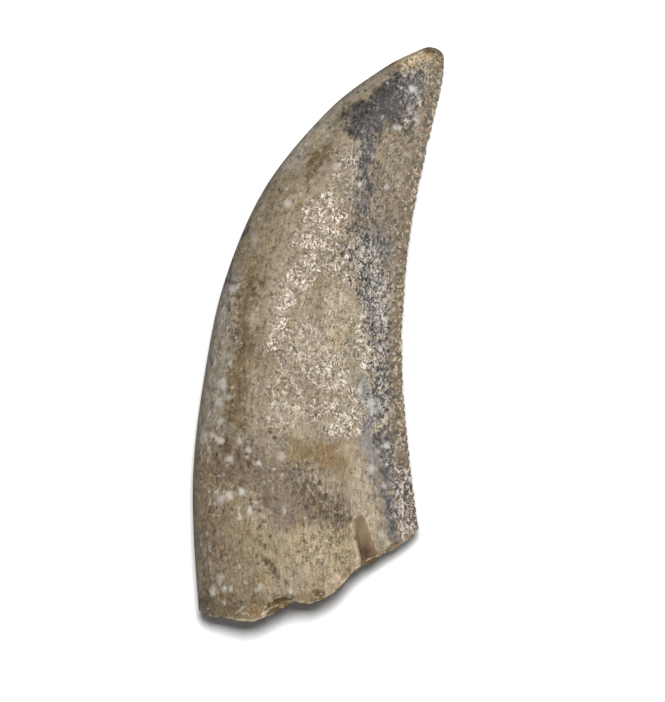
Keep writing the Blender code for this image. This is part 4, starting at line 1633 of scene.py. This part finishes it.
    def _carina(self, skin: Skin, colour: Sock, band: Sock) -> Sock:
        """The ochre band of the serrated edge, with paler denticles and dark grooves.

        Args:
            skin: What the layers share.
            colour: The colour so far.
            band: Where the band lies.

        Returns:
            The colour.
        """
        edge, wander, fine, flecks = skin.masks["edge_mm"], skin.wander, skin.fine, skin.flecks
        mottle = (1.0 + wander * 2.6 + fine * 2.4 + flecks * 3.0).most(0.3)
        inner = (edge + wander * 0.6).ramp(0.30, 0.55) * (flecks + wander).ramp(-0.10, 0.10)
        tips = skin.masks["denticle"].ramp(0.35, 0.9) * edge.ramp(0.35, 0.02) * (fine + 0.5).ramp(0.42, 0.6)
        grooves = skin.masks["groove"] * (0.45 + (wander + fine).ramp(-0.2, 0.2) * 0.55)
        return skin.lay(
            colour,
            (band * self.carina_strength, skin.tree.lit(skin.tone(Tone.EDGE_BROWN), mottle)),
            (band * (wander + fine * 0.6).ramp(0.0, 0.14) * 0.70, Tone.RED_BROWN),
            (band * inner * 0.55, Tone.GREY_BROWN),
            (band * tips * 0.42, Tone.OCHRE),
            (band * (flecks + fine).ramp(0.08, 0.20) * 0.50, Tone.CREAM),
            (band * grooves * 0.60, Tone.DARK_BROWN),
        )

    def _broken_face(self, skin: Skin) -> Sock:
        """Colours of the broken base: dentine with growth rings, and the darker pulp hollow."""
        ring, wander = skin.masks["ring"], skin.wander
        growth = (ring * self.growth_rings + wander * 5.0).sine().ramp(0.2, 0.9)
        return skin.lay(
            Tone.DENTINE,
            (skin.tree.grain(skin.where, DENTINE_GRAIN).ramp(0.4, 0.62), Tone.BROWN),
            (growth * 0.35, Tone.YELLOW_TAN),
            ((ring + wander * 0.1).ramp(0.66, 0.80), Tone.PULP),
            ((ring + wander * 0.02).ramp(0.045, 0.02) * 0.8, Tone.YELLOW_TAN),
            (skin.fine.ramp(0.06, 0.18) * 0.7, Tone.DARK_BROWN),
        )

    def _damage(self, skin: Skin, colour: Sock) -> Sock:
        """Colours of the broken base, the chips, the pits and the cracks.

        Args:
            skin: What the layers share.
            colour: The colour so far.

        Returns:
            The colour.
        """
        masks, wander, fine = skin.masks, skin.wander, skin.fine
        rim, spall, scoop = masks["rim_mm"], masks["spall"], masks["scoop"]
        broken = masks["broken"].ramp(0.6, 0.9)
        inside = 1 - broken
        x = skin.tree.node("ShaderNodeSeparateXYZ", None, skin.flat)
        gold = (rim + wander * 1.2).ramp(0.45, 0.10) * inside * (x + wander * 2.0).ramp(-4.6, -3.4)
        notch = skin.lay(
            Tone.NOTCH_BROWN,
            ((wander + 0.5).ramp(0.35, 0.65) * 0.5, Tone.YELLOW_TAN),
            *((skin.area(stain.area, wander), stain.tone) for stain in NOTCH_STAINS),
        )
        chip = skin.lay(Tone.CHIP_BROWN, ((wander + fine + 0.5).ramp(0.40, 0.66), Tone.GOLDEN))
        spall_edge = spall * (1 - spall) * 4.0 * (wander + 0.5).ramp(0.30, 0.55)
        patchy = (wander + 0.5).ramp(0.30, 0.50) * inside * masks["upness"]
        rim_line = (rim + fine * 0.25).ramp(0.10, 0.02) * inside * (wander + 0.5).ramp(0.38, 0.56)
        scoop_edge = scoop * (1 - scoop) * 3.4 * (fine + 0.5).ramp(0.35, 0.60)
        return skin.lay(
            colour,
            (broken, self._broken_face(skin)),
            (gold * 0.55, Tone.GOLDEN),
            (spall * 0.85, notch),
            (spall_edge * 0.8, Tone.FLAKE),
            (scoop * 0.9, chip),
            # Damage lines, with painted shade in the chips and painted highlights along the notch's edges.
            *((skin.area(stain.area, fine) * patchy, stain.tone) for stain in DAMAGE_LINES_AND_PAINTED_LIGHT),
            (rim_line.most(scoop_edge) * 0.6, Tone.CREAM),
            (masks["pit"] * 0.85, Tone.DARK_BROWN),
            (masks["crack"] * 0.6, Tone.BROWN),
        )

    def _height(self, skin: Skin, painted_glint_patch: Sock, glitter: Sock) -> Sock:
        """The fine relief that is too small for the mesh.

        Args:
            skin: What the layers share.
            painted_glint_patch: Where glints are painted; the relief is stronger there.
            glitter: The worms where the glints are painted.

        Returns:
            Heights, as shares of the bump's distance.
        """
        height = skin.streaks * 0.35 + skin.tree.grain(skin.where, FINE_RELIEF) * (0.55 + 0.9 * painted_glint_patch)
        rough = skin.tree.grain(skin.where, FRACTURE_GRAIN)
        return height + glitter * 0.4 + rough * skin.masks["broken"] * 2.5


@dataclass
class SoftBox:
    """A square area light that faces a place on the tooth."""

    name: str
    place: Triple
    aim: Triple
    size: Point
    power: float
    lights_surfaces: bool = True
    shows_in_gloss: bool = True

    def build(self) -> bpy.types.Object:
        """Makes the light.

        Returns:
            The light.
        """
        data = bpy.data.lights.new(self.name, "AREA")
        data.shape = "RECTANGLE"
        data.size, data.size_y = (side * MM for side in self.size)
        data.energy = self.power
        light = bpy.data.objects.new(self.name, data)
        light.location = Vector(self.place) * MM
        way = Vector(self.aim) - Vector(self.place)
        light.rotation_euler = way.to_track_quat("-Z", "Y").to_euler()
        light.visible_camera = False
        light.visible_diffuse = self.lights_surfaces
        light.visible_glossy = self.shows_in_gloss
        bpy.context.scene.collection.objects.link(light)
        return light


@dataclass
class Studio:
    """The pale floor, the soft lights and the camera that looks straight down."""

    aim: Triple = (0.719, -0.902, 2.2)
    frame_height: float = 36.72
    lens: float = 800.0
    sensor: float = 36.0
    floor_size: float = 1200.0
    floor_tone: float = 0.86
    world_light: float = 0.13
    lights: tuple[SoftBox, ...] = (
        SoftBox(
            "key_softbox", (1.0, 14.0, 200.0), (0.0, 0.0, 0.0), (31.0, 31.0), 0.665,
            shows_in_gloss=False,
        ),
        SoftBox(
            "gloss_softbox", (50.0, 38.0, 100.0), (50.0, 38.0, 0.0), (150.0, 60.0), 0.075,
            lights_surfaces=False,
        ),
    )

    def build(self) -> None:
        """Makes the floor, the lights, the world and the camera."""
        self._floor()
        for light in self.lights:
            light.build()
        self._world()
        self._camera()
        view = bpy.context.scene.view_settings
        view.view_transform = "Standard"
        view.look = "None"

    def _floor(self) -> None:
        """A plain pale surface under the tooth."""
        half = self.floor_size / 2 * MM
        mesh = bpy.data.meshes.new("floor")
        corners = [(-half, -half, 0), (half, -half, 0), (half, half, 0), (-half, half, 0)]
        mesh.from_pydata(corners, [], [(0, 1, 2, 3)])
        floor = bpy.data.objects.new("floor", mesh)
        material = bpy.data.materials.new("pale_floor")
        material.use_nodes = True
        shader = material.node_tree.nodes["Principled BSDF"]
        shader.inputs["Base Color"].default_value = (self.floor_tone, self.floor_tone, self.floor_tone, 1)
        shader.inputs["Roughness"].default_value = 0.9
        shader.inputs["Specular IOR Level"].default_value = 0.1
        mesh.materials.append(material)
        floor.visible_glossy = False
        bpy.context.scene.collection.objects.link(floor)
        floor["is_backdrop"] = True

    def _world(self) -> None:
        """Even light from all round."""
        world = bpy.data.worlds.new("studio")
        world.use_nodes = True
        background = world.node_tree.nodes["Background"]
        background.inputs["Color"].default_value = (1.0, 1.0, 1.0, 1.0)
        background.inputs["Strength"].default_value = self.world_light
        bpy.context.scene.world = world

    def _camera(self) -> None:
        """The camera over the tooth, level with the photograph's frame."""
        data = bpy.data.cameras.new("camera")
        data.lens = self.lens
        data.sensor_width = self.sensor
        data.clip_start = 0.01
        camera = bpy.data.objects.new("camera", data)
        reach = self.frame_height * self.lens / self.sensor
        camera.location = (Vector(self.aim) + Vector((0, 0, reach))) * MM
        bpy.context.scene.collection.objects.link(camera)
        bpy.context.scene.camera = camera


def main() -> None:
    """Builds the tooth and the studio, and reports each piece."""
    logging.basicConfig(level=logging.INFO, format="%(name)s: %(message)s")
    low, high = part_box(NODE)
    form = CrownForm(length=round((high[1] - low[1]) / MM, 1))
    serration = Serration(count=round(form.rear.length / DENTICLE_PITCH))
    enamel = EnamelFinish().build()
    crown = CrownMesh(form, Relief(), BrokenBase(), serration)
    tooth = crown.build(enamel)
    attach(tooth, "root")
    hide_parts(NODE)
    log.info("%s: %d faces, %d denticles", tooth.name, len(tooth.data.polygons), serration.count)
    Studio().build()
    log.info("studio: floor, lights and camera")
    low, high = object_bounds()


if __name__ == "__main__":
    main()
